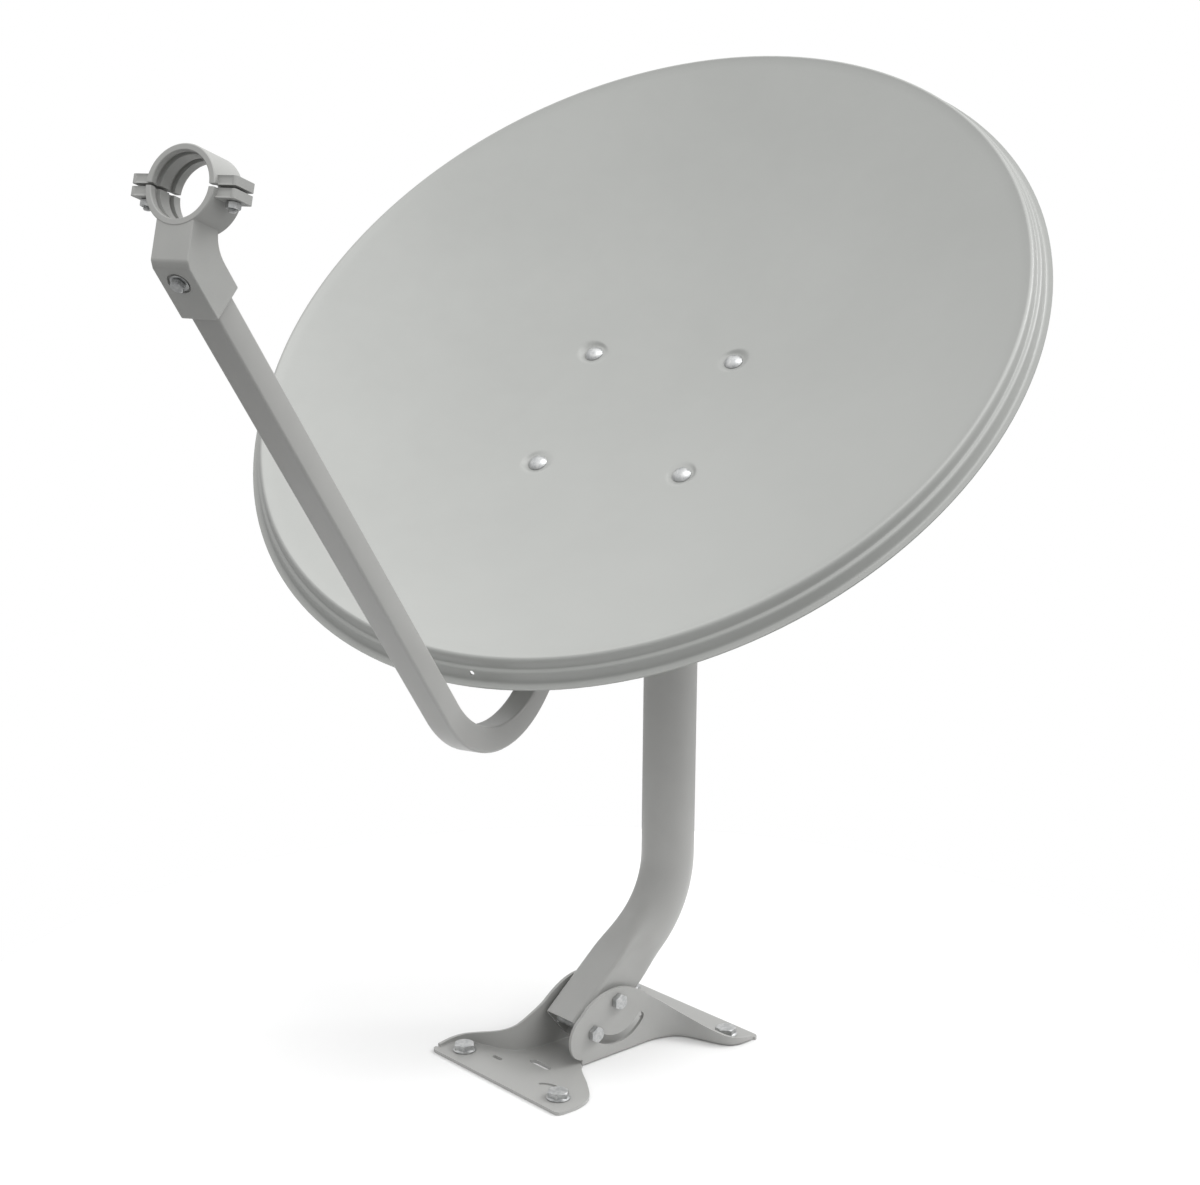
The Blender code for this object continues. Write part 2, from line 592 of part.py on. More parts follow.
under_front, under_back = (beside_arm(a, ARM_HALF + SOCKET_FLOOR) for a in (2.2 * MM, -SOCKET_LENGTH))
top_back, top_mid = (beside_arm(a, -ARM_HALF - SOCKET_ROOF) for a in (-SOCKET_LENGTH, -SOCKET_LENGTH / 2))
neck_top = Vector((FEED_LENGTH - 3.7 * MM, 3 * MM - FEED_R))
bow = Vector((neck_top.x - 0.8 * MM, 0.62 * top_mid.y + 0.38 * neck_top.y))
hollow_back = [top_mid * (1 - t) ** 2 + bow * 2 * t * (1 - t) + neck_top * t * t for t in (0, 0.25, 0.5, 0.75, 1)]
side_outline = [(0.4 * MM, neck_top.y), (0.4 * MM, under_front.y + 4.4 * MM), under_front, under_back, top_back]
holder = solid("feed_holder", half_disc(-1), feed_axis, (PLASTIC, 0.0, 0.5))
weld(holder, "holder_ears", ears(-1))
weld(holder, "holder_neck", prism(side_outline + hollow_back, -HOLDER_HALF, HOLDER_HALF, "x"))
cap = solid("feed_cap", half_disc(1), feed_axis, (PLASTIC, 0.0, 0.5))
weld(cap, "cap_ears", ears(1))
for piece in (holder, cap):
    combine(piece, receiver_bore(f"{piece.name}_bore"))
hollow = prism(rounded(ARM_HALF + CLEAR, ARM_HALF + CLEAR, 2.5 * MM, 2), -0.4 * MM, SOCKET_LENGTH + 10 * MM, "z")
hollow.transform(to_feed @ placed(arm_end, -forward))
drill(holder, "holder_hollow", hollow)
screw_at = arm_end - forward * (9 * MM) + arm_down * ARM_HALF
face_at = screw_at + arm_down * WELL_FLOOR
well = peg((0, 0, 0), (0, 0, 1), 7.5 * MM, 12 * MM)
well.transform(to_feed @ placed(face_at + arm_down * (6 * MM), arm_down))
drill(holder, "holder_well", well)
drill(feed_arm, "arm_screw_hole", peg(screw_at, arm_down, M5[0] + HOLE, 16 * MM, 12))
pilot = peg((0, 0, 0), (0, 0, 1), M5[0] + HOLE, 16 * MM, 12)
pilot.transform(to_feed @ placed(screw_at, arm_down))
drill(holder, "holder_screw_hole", pilot)
washer = [(6 * MM, WASHER), (6 * MM, 0), (M5[0] + HOLE, 0), (M5[0] + HOLE, WASHER), (6 * MM, WASHER)]
turned("holder_washer", washer, elevation_axis, (ZINC, 0.9, 0.38), 12, placed(face_at + arm_down * CLEAR, arm_down))
bolt(
    "holder_screw", elevation_axis, face_at + arm_down * (WASHER + 2 * CLEAR), -arm_down, M5,
    WASHER + 2 * CLEAR + WELL_FLOOR + ARM_WALL + 4 * MM,
)

# Two countersunk screws with nuts under the ears close the clamp
taper = (SINK_R - M5[0]) / SINK_DEEP
sink_play = 1.5 * CLEAR
screw_length = 2 * (SPLIT + CLAMP_EAR) + CLEAR + M5[3] + 2 * MM
for side, sign in (("right", 1), ("left", -1)):
    head_at = Vector((sign * SCREW_X, sum(EAR_Y) / 2, SPLIT + CLAMP_EAR))
    spot = Matrix.Translation(head_at)
    for piece in (holder, cap):
        drill(piece, f"{piece.name}_{side}_hole", peg((0, 0, 0), (0, 0, 1), M5[0] + HOLE, 60 * MM, 12), spot)
    tip, over = -SINK_DEEP - sink_play, 0.6 * MM
    sink = [(0, over), (SINK_R + taper * (sink_play + over), over), (M5[0], tip), (0, tip)]
    combine(cap, turned(f"cap_{side}_sink", sink, feed_axis, None, 12, spot, cutter=True))
    screw = [(0, 0), (SINK_R, 0), (M5[0], -SINK_DEEP), (M5[0], -screw_length), (0, -screw_length)]
    turned(f"clamp_screw_{side}", screw, feed_axis, (ZINC, 0.9, 0.38), 12, spot)
    nut(f"clamp_nut_{side}", feed_axis, (head_at.x, head_at.y, -head_at.z - CLEAR), (0, 0, -1), M5)

# Pole bracket: channel on the mast with two lips round it, held by two U-bolts
BRACKET_TOP, BRACKET_LOW = PIVOT_HEIGHT + BRACKET_RISE, PIVOT_HEIGHT - BRACKET_FALL
lock_turn = math.radians(LOCK_ANGLE - ELEVATION)
LOCK_Y = PIVOT_Y + LOCK_RADIUS * math.cos(lock_turn)
LOCK_Z = PIVOT_HEIGHT + LOCK_RADIUS * math.sin(lock_turn)
U_HEIGHTS = (PIVOT_HEIGHT - U_BOLT_DROP, PIVOT_HEIGHT - U_BOLT_DROP - U_BOLT_APART)
pole_bracket = solid(
    "pole_bracket", box((-POLE_OUT + 0.6 * MM, POLE_OUT - 0.6 * MM), (WEB_FRONT, WEB_BACK), (BRACKET_LOW, BRACKET_TOP)),
    azimuth_axis, (PAINT, 0.2, 0.45),
)
mid = WEB_BACK - 0.8 * MM
side_plate = [
    (mid, BRACKET_LOW + 1 * MM), (mid, BRACKET_TOP - 1 * MM), (PIVOT_Y - 4 * MM, BRACKET_TOP - 1 * MM),
    (PIVOT_Y - 13 * MM, BRACKET_TOP - 10 * MM), (PIVOT_Y - 15 * MM, PIVOT_HEIGHT - 2 * MM),
    (PIVOT_Y - 13 * MM, PIVOT_HEIGHT - 14 * MM), (LOCK_Y - 13 * MM, LOCK_Z + 14 * MM), (LOCK_Y - 14 * MM, LOCK_Z),
    (LOCK_Y - 11 * MM, LOCK_Z - 10 * MM), (LOCK_Y - 2 * MM, LOCK_Z - 14 * MM), (mid - 6 * MM, BRACKET_LOW + 14 * MM),
]
for side, low, high in (("right", POLE_IN, POLE_OUT), ("left", -POLE_OUT, -POLE_IN)):
    weld(pole_bracket, f"pole_cheek_{side}", prism(side_plate, low, high, "x"))
lips = bmesh.new()
for low in (BRACKET_LOW + 0.5 * MM, BRACKET_TOP - 0.5 * MM - POLE_SHEET):
    lip = [
        (-POLE_OUT + 3 * MM, mid), (POLE_OUT - 3 * MM, mid), (POLE_OUT - 3 * MM, -0.62 * MAST_R),
        (POLE_OUT - 9 * MM, -0.36 * MAST_R), (-POLE_OUT + 9 * MM, -0.36 * MAST_R), (-POLE_OUT + 3 * MM, -0.62 * MAST_R),
    ]
    prism(lip, low, low + POLE_SHEET, "z", bm=lips)
weld(pole_bracket, "pole_lips", lips)
lip_middle = (BRACKET_TOP + BRACKET_LOW) / 2
drill(pole_bracket, "pole_lip_cut", peg((0, 0, lip_middle), (0, 0, 1), MAST_R + CLEAR, 2 * (BRACKET_TOP - BRACKET_LOW), 32))
pole_holes = bmesh.new()
for z in U_HEIGHTS:
    for sx in (-LEG_X, LEG_X):
        peg((sx, (WEB_FRONT + WEB_BACK) / 2, z), (0, 1, 0), M8[0] + HOLE, POLE_SHEET + 8 * MM, 12, bm=pole_holes)
drill(pole_bracket, "pole_u_holes", pole_holes)
cross = bmesh.new()
for y, z in ((PIVOT_Y, PIVOT_HEIGHT), (LOCK_Y, LOCK_Z)):
    peg((0, y, z), (1, 0, 0), M8[0] + HOLE, 4 * POLE_OUT, 16, bm=cross)
drill(pole_bracket, "pole_cross_holes", cross)
leg_end = WEB_FRONT - CLEAR - M8[3] - 3 * MM
for place_name, z in zip(("upper", "lower"), U_HEIGHTS):
    way = [(LEG_X, leg_end, z)]
    way += [(LEG_X * math.cos(math.pi * k / 12), LEG_X * math.sin(math.pi * k / 12), z) for k in range(13)]
    way.append((-LEG_X, leg_end, z))
    solid(f"u_bolt_{place_name}", rod(way, M8[0]), azimuth_axis, (ZINC, 0.9, 0.38))
    for side, sx in (("right", LEG_X), ("left", -LEG_X)):
        nut(f"u_nut_{place_name}_{side}", azimuth_axis, (sx, WEB_FRONT - CLEAR, z), (0, -1, 0), M8, 30)
for name, y, z in (("elevation_pivot", PIVOT_Y, PIVOT_HEIGHT), ("elevation_lock", LOCK_Y, LOCK_Z)):
    far = CRADLE_OUT + CLEAR
    bolt(f"{name}_bolt", azimuth_axis, (far, y, z), (-1, 0, 0), M8, 2 * far + M8[3] + 3 * MM)
    nut(f"{name}_nut", azimuth_axis, (-far, y, z), (-1, 0, 0), M8)

# Mast: round tube, one bend, its lower end pressed flat at the sides between the ears
lean = math.radians(MAST_LEAN)
rise_dir = Vector((0, math.cos(lean), math.sin(lean)))
turn_mast = math.pi / 2 - lean
meet = MAST_REACH / math.cos(lean)
trim = MAST_BEND * math.tan(turn_mast / 2)
mast_way = [(rise_dir * d, lean) for d in (-MAST_TAIL, -0.3 * MAST_TAIL, 0.45 * (meet - trim), 0.72 * (meet - trim))]
bend_at = rise_dir * (meet - trim) + Vector((0, -math.sin(lean), math.cos(lean))) * MAST_BEND
for k in range(7):
    a = lean + turn_mast * k / 6
    mast_way.append((bend_at + Vector((0, math.sin(a), -math.cos(a))) * MAST_BEND, a))
mast_way.append((Vector((0, MAST_REACH, MAST_TOP - TILT_HEIGHT)), math.pi / 2))
PRESS = (1.6 * MM, 1.6 * MM, 1.6 * MM, 0.9 * MM)


def mast_rings(radius):
    rings = []
    for i, (at, a) in enumerate(mast_way):
        lift = Vector((0, -math.sin(a), math.cos(a)))
        limit = radius - (PRESS[i] if i < len(PRESS) else 0)
        rings.append([at + Vector((max(-limit, min(limit, x)), 0, 0)) + lift * z for x, z in circle(radius, 24)])
    return rings


mast = solid(
    "mast", loft(mast_rings(MAST_R) + mast_rings(MAST_R - MAST_WALL)[::-1], loop=True), tilt_axis, (PAINT, 0.2, 0.45)
)
LOCK_SPOT = -rise_dir * TILT_SLOT_RADIUS
tilt_holes = bmesh.new()
for y, z in ((0, 0), LOCK_SPOT.yz):
    peg((0, y, z), (1, 0, 0), M8[0] + HOLE, 4 * MAST_R, 16, bm=tilt_holes)
drill(mast, "mast_holes", tilt_holes)
top = MAST_TOP - TILT_HEIGHT
tube_in = MAST_R - MAST_WALL - CLEAR
cap_profile = [
    (0, 3.6 * MM), (MAST_R - 1.5 * MM, 3.6 * MM), (MAST_R, 2.4 * MM), (MAST_R, CLEAR), (tube_in, CLEAR), (tube_in, -12 * MM),
    (tube_in - 0.6 * MM, -14 * MM), (0, -14 * MM),
]
turned("mast_cap", cap_profile, tilt_axis, (DARK, 0.0, 0.6), 20, Matrix.Translation((0, MAST_REACH, top)))

# Foot: one stamped sheet, two pads joined by a narrow middle, two ears that sweep down to the pads
half_w, half_l = FOOT_WIDTH / 2, FOOT_LENGTH / 2
span = half_w - EAR_OUT
STRAIGHT = 42 * MM
run = half_l - STRAIGHT
SWEEP = (
    (0.0, 0.0), (0.03, 0.13), (0.12, 0.29), (0.28, 0.38), (0.49, 0.44), (0.72, 0.5), (0.9, 0.575), (0.985, 0.69),
    (1.0, 0.8), (1.0, 0.9),
)
SWEEP_TOP = (44, 37, 27, 21, 16.5, 12.5, 9.5, 7.5, 6, 4.4)
EAR_STATIONS = (
    (-55, 19, 27), (-53, 12, 34), (-48, 4, 42.5), (-43, 0.5, 48), (-34, 0.5, 54.5), (-22, 0.5, 60), (-10, 0.5, 62.7),
    (3, 0.5, 63.2), (15, 0.5, 60.5), (26, 0.5, 55), (34, 0.5, 50),
)
EAR_TOP = TILT_HEIGHT + 12 * MM
tall = EAR_TOP / (63.2 * MM)
ear_line = [(EAR_OUT, w * MM, low * MM, high * MM * tall) for w, low, high in EAR_STATIONS]
for (k, s), high in zip(SWEEP, SWEEP_TOP):
    grown = high * MM * (tall if high > 20 else 1)
    ear_line.append((EAR_OUT + k * span, STRAIGHT + s * run, 0.5 * MM, grown))


def ear(name, sign):
    """A strip of sheet on the plan line, pulled from station to station, with its own bottom and top at each."""
    bm = bmesh.new()
    u, w, low, high = ear_line[0]
    edge = bm.edges.new([bm.verts.new((sign * u, sign * w, z)) for z in (low, high)])
    for u, w, low, high in ear_line[1:]:
        grown = bmesh.ops.extrude_edge_only(bm, edges=[edge])["geom"]
        ends = sorted((g for g in grown if isinstance(g, bmesh.types.BMVert)), key=lambda v: v.co.z)
        for vert, z in zip(ends, (low, high)):
            vert.co = (sign * u, sign * w, z)
        edge = next(e for e in ends[0].link_edges if ends[1] in e.verts)
    bm.normal_update()
    if bm.faces[:][0].normal.x * sign < 0:
        bmesh.ops.reverse_faces(bm, faces=bm.faces)
    return thicken(solid(name, bm, foot_frame, cutter=True, closed=False), FOOT_SHEET)


inset = 1.0 * MM
edge = [
    (half_w, -half_l + 6 * MM), (half_w, -half_l + 24 * MM), (half_w - 7 * MM, -half_l + 41 * MM),
    (half_w - 26 * MM, -half_l + 56 * MM), (EAR_OUT + 14 * MM, -half_l + 68 * MM), (EAR_OUT - inset, -half_l + 80 * MM),
]
edge += [(EAR_OUT + k * span - inset, STRAIGHT + s * run + 0.5 * inset) for k, s in SWEEP]
edge += [(half_w - inset, half_l - 5 * MM), (half_w - 6 * MM, half_l), (-half_w + 6 * MM, half_l)]
plan = edge + [(-u, -w) for u, w in edge]
foot = solid("foot", prism(plan, 0, FOOT_SHEET, "z"), foot_frame, (PAINT, 0.2, 0.45))
combine(foot, ear("ear_right", 1), "UNION")
combine(foot, ear("ear_left", -1), "UNION")
drill(foot, "tilt_pivot_hole", peg((0, 0, TILT_HEIGHT), (1, 0, 0), M8[0] + HOLE, 4 * EAR_OUT))
lock_start = 180 + MAST_LEAN
slot = [(y, z + TILT_HEIGHT) for y, z in arc_slot(TILT_SLOT_RADIUS, M8[0] + HOLE, lock_start - 1, lock_start + TILT_RANGE + 1)]
drill(foot, "tilt_slot", prism(slot, -2 * EAR_OUT, 2 * EAR_OUT, "x"))
ANCHORS = [(sx * (half_w - 23 * MM), sy * (half_l - 20 * MM)) for sy in (-1, 1) for sx in (-1, 1)]
foot_holes = bmesh.new()
for u, w in ANCHORS:
    peg((u, w, FOOT_SHEET / 2), (0, 0, 1), M10[0] + HOLE, FOOT_SHEET + 8 * MM, 16, bm=foot_holes)
for sign in (-1, 1):
    slots = [((-32, -90), rounded(6 * MM, 2.2 * MM, 2.1 * MM, 2)), ((4, -70), rounded(13 * MM, 3.2 * MM, 3.1 * MM, 2))]
    slots.append(((46, -104), arc_slot(15 * MM, 1.7 * MM, 75, 145)))
    for (u, w), form in slots:
        shape = [(sign * (u * MM + a), sign * (w * MM + b)) for a, b in form]
        prism(shape, -4 * MM, FOOT_SHEET + 4 * MM, "z", bm=foot_holes)
drill(foot, "foot_holes", foot_holes)
far = EAR_OUT + CLEAR
bolt("tilt_pivot_bolt", tilt_axis, (far, 0, 0), (-1, 0, 0), M8, 2 * far + M8[3] + 3 * MM)
nut("tilt_pivot_nut", tilt_axis, (-far, 0, 0), (-1, 0, 0), M8)
bolt("tilt_lock_bolt", tilt_axis, (far, LOCK_SPOT.y, LOCK_SPOT.z), (-1, 0, 0), M8, 2 * far + M8[3] + 3 * MM)
nut("tilt_lock_nut", tilt_axis, (-far, LOCK_SPOT.y, LOCK_SPOT.z), (-1, 0, 0), M8)
for number, (u, w) in enumerate(ANCHORS, 1):
    bolt(f"anchor_bolt_{number}", foot_frame, (u, w, FOOT_SHEET + CLEAR), (0, 0, -1), M10, FOOT_SHEET, 10.5 * MM, 11 * number)
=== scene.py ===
"""Offset satellite dish on its bent mast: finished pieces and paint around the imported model."""

import math

import bmesh
import bpy
from mathutils import Matrix, Vector


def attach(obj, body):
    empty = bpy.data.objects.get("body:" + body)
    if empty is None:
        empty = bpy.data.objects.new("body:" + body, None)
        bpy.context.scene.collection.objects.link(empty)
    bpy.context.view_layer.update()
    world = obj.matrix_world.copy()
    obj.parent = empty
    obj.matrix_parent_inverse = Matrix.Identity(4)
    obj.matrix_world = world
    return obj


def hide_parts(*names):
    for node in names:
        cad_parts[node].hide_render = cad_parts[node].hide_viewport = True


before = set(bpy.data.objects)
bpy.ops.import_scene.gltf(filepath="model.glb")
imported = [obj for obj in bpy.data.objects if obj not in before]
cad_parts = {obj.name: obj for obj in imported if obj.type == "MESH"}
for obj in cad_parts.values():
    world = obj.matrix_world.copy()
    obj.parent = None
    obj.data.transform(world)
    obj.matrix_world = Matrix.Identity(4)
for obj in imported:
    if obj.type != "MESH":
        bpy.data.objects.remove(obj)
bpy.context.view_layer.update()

MM = 0.001
Z_AXIS = Vector((0, 0, 1))
NEAR = 1e-5
CLEAR = 0.3 * MM
WIDE_CUT, SHEET_CUT = 40 * MM, 9 * MM

# Sizes of the reflector
RIM_HEIGHT = 719 * MM
SPLAY = math.radians(25.31)
RIM_B = RIM_HEIGHT / 2
RIM_A = RIM_B * math.cos(SPLAY)
FOCAL = 365 * MM
RIM_FORWARD, RIM_UP = 110.285 * MM, 34 * MM
REFLECTOR_SHEET = 1.2 * MM
FACE_SPOTS = [(sx * 66 * MM, z * MM) for z in (57, -77) for sx in (-1, 1)]
WELL_DEPTH = 1.8 * MM
WELL_R, WELL_MOUTH, WELL_FINE = 9.8 * MM, 13.4 * MM, 26 * MM
DRAIN_R, DRAIN_OUT, DRAIN_BACK = 2 * MM, 8.6 * MM, 12 * MM

# Sizes of the brackets behind it
ELEVATION = 51.2
CRADLE_SHEET = 2.5 * MM
PIVOT_Y, PIVOT_Z, PIVOT_OUT = -42.05 * MM, 548 * MM, 43.06 * MM
LOCK_RADIUS, LOCK_ANGLE = 60 * MM, math.radians(-40.7 - ELEVATION)
WEB_FRONT = -27.45 * MM
U_BOLT_X, U_BOLT_END, U_BOLT_SCREWED = 28.45 * MM, -37.25 * MM, 22 * MM
U_BOLT_HEIGHTS = {"upper": 519 * MM, "lower": 461 * MM}

# Sizes of the mast and the foot
MAST_R, MAST_WALL = 24.15 * MM, 2 * MM
MAST_TOP = 580 * MM
MAST_REACH = 86 * MM
MAST_BEND = 90 * MM
MAST_LEAN = math.radians(40)
MAST_TAIL = 41.5 * MM
PRESSED_SIDE, PRESSED_ROUND = 20.3 * MM, 6 * MM
TILT_HEIGHT, TILT_LOCK = 51.516 * MM, 36 * MM
FOOT_SHEET, FOOT_FOLD = 3 * MM, 3.6 * MM
EAR_OUT = 27.75 * MM
HALF_WIDTH, HALF_LENGTH = 87.5 * MM, 121.5 * MM
ANCHOR_X, ANCHOR_Y, ANCHOR_FLANGE = 64.5 * MM, 101.5 * MM, 10.5 * MM

# Sizes of the arm
ARM_SIDE, ARM_WALL, ARM_ROUND = 20 * MM, 1.5 * MM, 2.4 * MM
ARM_BEND = 102 * MM
ARM_BACK, ARM_TOP = 11.5 * MM, -82 * MM
ARM_FALL = math.radians(1.6)
ARM_LENGTH = 560 * MM
ARM_DROP, ARM_DROP_RUN = 380 * MM, 88 * MM
ARM_BOLT_OUT = 12.9 * MM
ARM_BOLT_HEIGHTS = {"upper": -98 * MM, "lower": -136 * MM}

# Sizes of the receiver clamp
FEED_FORWARD, FEED_UP, FEED_AIM = 592 * MM, -367.742 * MM, 34.4
FEED_LENGTH = 29 * MM
FEED_R, FEED_OUT = 20 * MM, 24 * MM
GROOVE_R, GROOVE_WIDE = 22.4 * MM, 4.5 * MM
GROOVES = (17.7 * MM, 4.35 * MM)
SADDLE_R = 23.2 * MM
NECK_FRONT, NECK_BACK, NECK_TOP, CHIN = 0.4 * MM, FEED_LENGTH - 3.7 * MM, 3 * MM - FEED_R, 4.4 * MM
SPLIT = 0.9 * MM
CLAMP_EAR = 5.6 * MM
EAR_ROOT, EAR_X = 22 * MM, 36.6 * MM
EAR_FRONT, EAR_BACK = 3 * MM, 22 * MM
SCREW_X, SCREW_Y = 30 * MM, 12.5 * MM
SOCKET_FLOOR, SOCKET_ROOF = 3.2 * MM, 4.6 * MM
SOCKET_LENGTH, SOCKET_LIP = 38 * MM, 2.2 * MM
SCREW_WELL_R, WELL_FLOOR = 7.5 * MM, 1.6 * MM
HOLDER_SCREW, HOLDER_SCREW_IN = 8.9 * MM, 9 * MM

# Fasteners: shank radius, half across flats, head height, nut height, thread pitch
M5 = (2.5 * MM, 4.0 * MM, 3.2 * MM, 4.0 * MM, 0.8 * MM)
M6 = (3.0 * MM, 5.0 * MM, 4.0 * MM, 5.0 * MM, 1.0 * MM)
M8 = (4.0 * MM, 6.5 * MM, 5.3 * MM, 6.5 * MM, 1.25 * MM)
M10 = (5.0 * MM, 8.5 * MM, 6.4 * MM, 8.0 * MM, 1.5 * MM)
M5_HOLE, M6_HOLE, M8_HOLE, M10_HOLE = (size[0] + 0.4 * MM for size in (M5, M6, M8, M10))
WASHER = 1.2 * MM
BOLT_PAST_NUT, SCREW_PAST_NUT = 3 * MM, 2 * MM


def shift(x, y, z):
    return Matrix.Translation((x, y, z))


def turn_x(degrees):
    return Matrix.Rotation(math.radians(degrees), 4, "X")


def along(at, way, roll=0.0):
    """A matrix that puts local +Z along the given direction at the given point."""
    turn = Z_AXIS.rotation_difference(Vector(way)).to_matrix().to_4x4()
    return Matrix.Translation(at) @ turn @ Matrix.Rotation(math.radians(roll), 4, "Z")


# Frames of the four bodies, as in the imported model, and of the clamp and the rim's plan
FOOT = Matrix.Rotation(math.radians(-22.1), 4, "Z")
TILT = FOOT @ shift(0, 0, TILT_HEIGHT)
AZIMUTH = Matrix.Translation(FOOT @ Vector((0, MAST_REACH, 0)))
DISH = AZIMUTH @ shift(0, PIVOT_Y, PIVOT_Z) @ turn_x(-ELEVATION)
FEED = DISH @ shift(0, -FEED_FORWARD, FEED_UP) @ turn_x(FEED_AIM)
FACE_PLAN = DISH @ shift(0, -RIM_FORWARD, RIM_UP) @ turn_x(90)


# Modelling by hand: pick, open, select, shape, close


def only(piece):
    bpy.ops.object.select_all(action="DESELECT")
    piece.select_set(True)
    bpy.context.view_layer.objects.active = piece
    return piece


def begin(adder, name, **size):
    """Add a primitive, name it and open it with all of it selected."""
    bpy.ops.object.select_all(action="DESELECT")
    adder(**size)
    piece = bpy.context.object
    piece.name = piece.data.name = name
    bpy.ops.object.transform_apply(location=True, rotation=True, scale=True)
    bpy.ops.object.mode_set(mode="EDIT")
    bpy.ops.mesh.select_mode(type="VERT")
    bpy.ops.mesh.select_all(action="SELECT")
    return piece


def open_up(piece):
    only(piece)
    bpy.ops.object.mode_set(mode="EDIT")
    bpy.ops.mesh.select_mode(type="VERT")


def close():
    bpy.ops.object.mode_set(mode="OBJECT")
    return bpy.context.object


def choose(kind, test):
    """Select the vertices, edges or faces of the open piece that pass the test."""
    bpy.ops.mesh.select_mode(type=kind)
    bpy.ops.mesh.select_all(action="DESELECT")
    mesh = bpy.context.object.data
    bm = bmesh.from_edit_mesh(mesh)
    for element in {"VERT": bm.verts, "EDGE": bm.edges, "FACE": bm.faces}[kind]:
        element.select_set(bool(test(element)))
    bmesh.update_edit_mesh(mesh)


def reshape(move, test):
    """Give each vertex of the open piece that passes the test the place that move says."""
    mesh = bpy.context.object.data
    bm = bmesh.from_edit_mesh(mesh)
    for vertex in bm.verts:
        if test(vertex):
            vertex.co = move(vertex.co)
    bmesh.update_edit_mesh(mesh)


def push(x=0.0, y=0.0, z=0.0):
    bpy.ops.transform.translate(value=(x, y, z))


def scale(x, y, z=1.0, middle=(0, 0, 0)):
    bpy.ops.transform.resize(value=(x, y, z), center_override=middle)


def pull(x=0.0, y=0.0, z=0.0):
    """Extrude what is selected and move it."""
    bpy.ops.mesh.extrude_region_move(TRANSFORM_OT_translate={"value": (x, y, z)})


def merge_doubles():
    bpy.ops.mesh.select_all(action="SELECT")
    bpy.ops.mesh.remove_doubles(threshold=0.002 * MM)


def tidy_skin():
    merge_doubles()
    bpy.ops.mesh.normals_make_consistent(inside=False)


def face_sheet(sign, rank):
    """Turn an open sheet so that its face of the highest rank looks up (1) or down (-1)."""
    bpy.ops.mesh.select_all(action="SELECT")
    bpy.ops.mesh.normals_make_consistent(inside=False)
    bm = bmesh.from_edit_mesh(bpy.context.object.data)
    if max(bm.faces, key=rank).normal.z * sign < 0:
        bpy.ops.mesh.flip_normals()


def line(name, points, closed=False):
    """A line drawn by extruding one vertex from point to point, filled when it is closed."""
    piece = begin(bpy.ops.mesh.primitive_plane_add, name, size=MM)
    bpy.ops.mesh.merge(type="CENTER")
    bpy.ops.transform.translate(value=points[0])
    for here, there in zip(points, points[1:]):
        step = Vector(there) - Vector(here)
        bpy.ops.mesh.extrude_vertices_move(TRANSFORM_OT_translate={"value": step})
    bpy.ops.mesh.select_all(action="SELECT")
    if closed:
        bpy.ops.mesh.edge_face_add()
    return piece


def lathe(name, profile, steps=48):
    """A closed turned piece: (radius, height) points spun round Z."""
    line(name, [(r, 0, z) for r, z in profile])
    bpy.ops.mesh.spin(steps=steps, angle=math.tau, center=(0, 0, 0), axis=(0, 0, 1))
    tidy_skin()
    return close()


def bar(name, radius, low, high, matrix, steps=40):
    """A plain turned bar, as a cutter."""
    return settle(lathe(name, [(0, low), (radius, low), (radius, high), (0, high)], steps), matrix)


def slab(name, points, thick):
    """A flat outline given thickness along the vector."""
    line(name, points, closed=True)
    pull(*thick)
    tidy_skin()
    return close()


def apply(piece, kind, **settings):
    only(piece)
    step = piece.modifiers.new(kind.lower(), kind)
    for key, value in settings.items():
        setattr(step, key, value)
    bpy.ops.object.modifier_apply(modifier=step.name)
    return piece


def discard(piece):
    bpy.data.objects.remove(piece)


def unite(piece, other, how="UNION"):
    """Join another piece to this one, or cut it out, and remove the other."""
    apply(piece, "BOOLEAN", operation=how, solver="EXACT", object=other)
    discard(other)
    return piece


def cut(piece, other):
    return unite(piece, other, "DIFFERENCE")


def flatten(piece, degrees, convex=False):
    """Melt the needless edges inside flat faces; convex leaves no face with a hollow outline."""
    open_up(piece)
    merge_doubles()
    bpy.ops.mesh.dissolve_limited(angle_limit=math.radians(degrees))
    if convex:
        bpy.ops.mesh.vert_connect_concave()
    return close()


def round_edges(piece, width, steps, angle, **settings):
    limit = math.radians(angle)
    return apply(
        piece, "BEVEL", width=width, segments=steps, limit_method="ANGLE", angle_limit=limit, **settings
    )


def soften(piece, width=0.0, steps=2, angle=32):
    """Round the edges a little, if a width is given, and shade the piece smooth between them."""
    if width:
        round_edges(piece, width, steps, angle, use_clamp_overlap=True, miter_outer="MITER_ARC")
    only(piece)
    bpy.ops.object.shade_smooth_by_angle(angle=math.radians(angle))
    return piece


def even_shade(piece):
    """Let the large faces rule the shading, so that flat sheet looks flat."""
    return apply(piece, "WEIGHTED_NORMAL", keep_sharp=True, weight=70)


def wall(piece, thick):
    """Give an open skin its thickness, inwards."""
    return apply(piece, "SOLIDIFY", thickness=thick, offset=-1.0, use_even_offset=True, use_rim=True)


def copy_of(piece, name):
    twin = piece.copy()
    twin.data = piece.data.copy()
    twin.name = twin.data.name = name
    bpy.context.scene.collection.objects.link(twin)
    return twin


def settle(piece, matrix):
    """Put a piece where it belongs, its place kept in its mesh."""
    only(piece)
    piece.matrix_world = matrix
    bpy.ops.object.transform_apply(location=True, rotation=True, scale=True)
    return piece


def fit(piece, body, finish, slot, *nodes):
    """Give a piece its finish and its body, and hide the imported nodes that it stands for; the slot is not
    used.
    """
    piece.data.materials.clear()
    piece.data.materials.append(finish)
    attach(piece, body)
    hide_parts(*nodes)
    return piece


def in_mm(points):
    return [(a * MM, b * MM) for a, b in points]


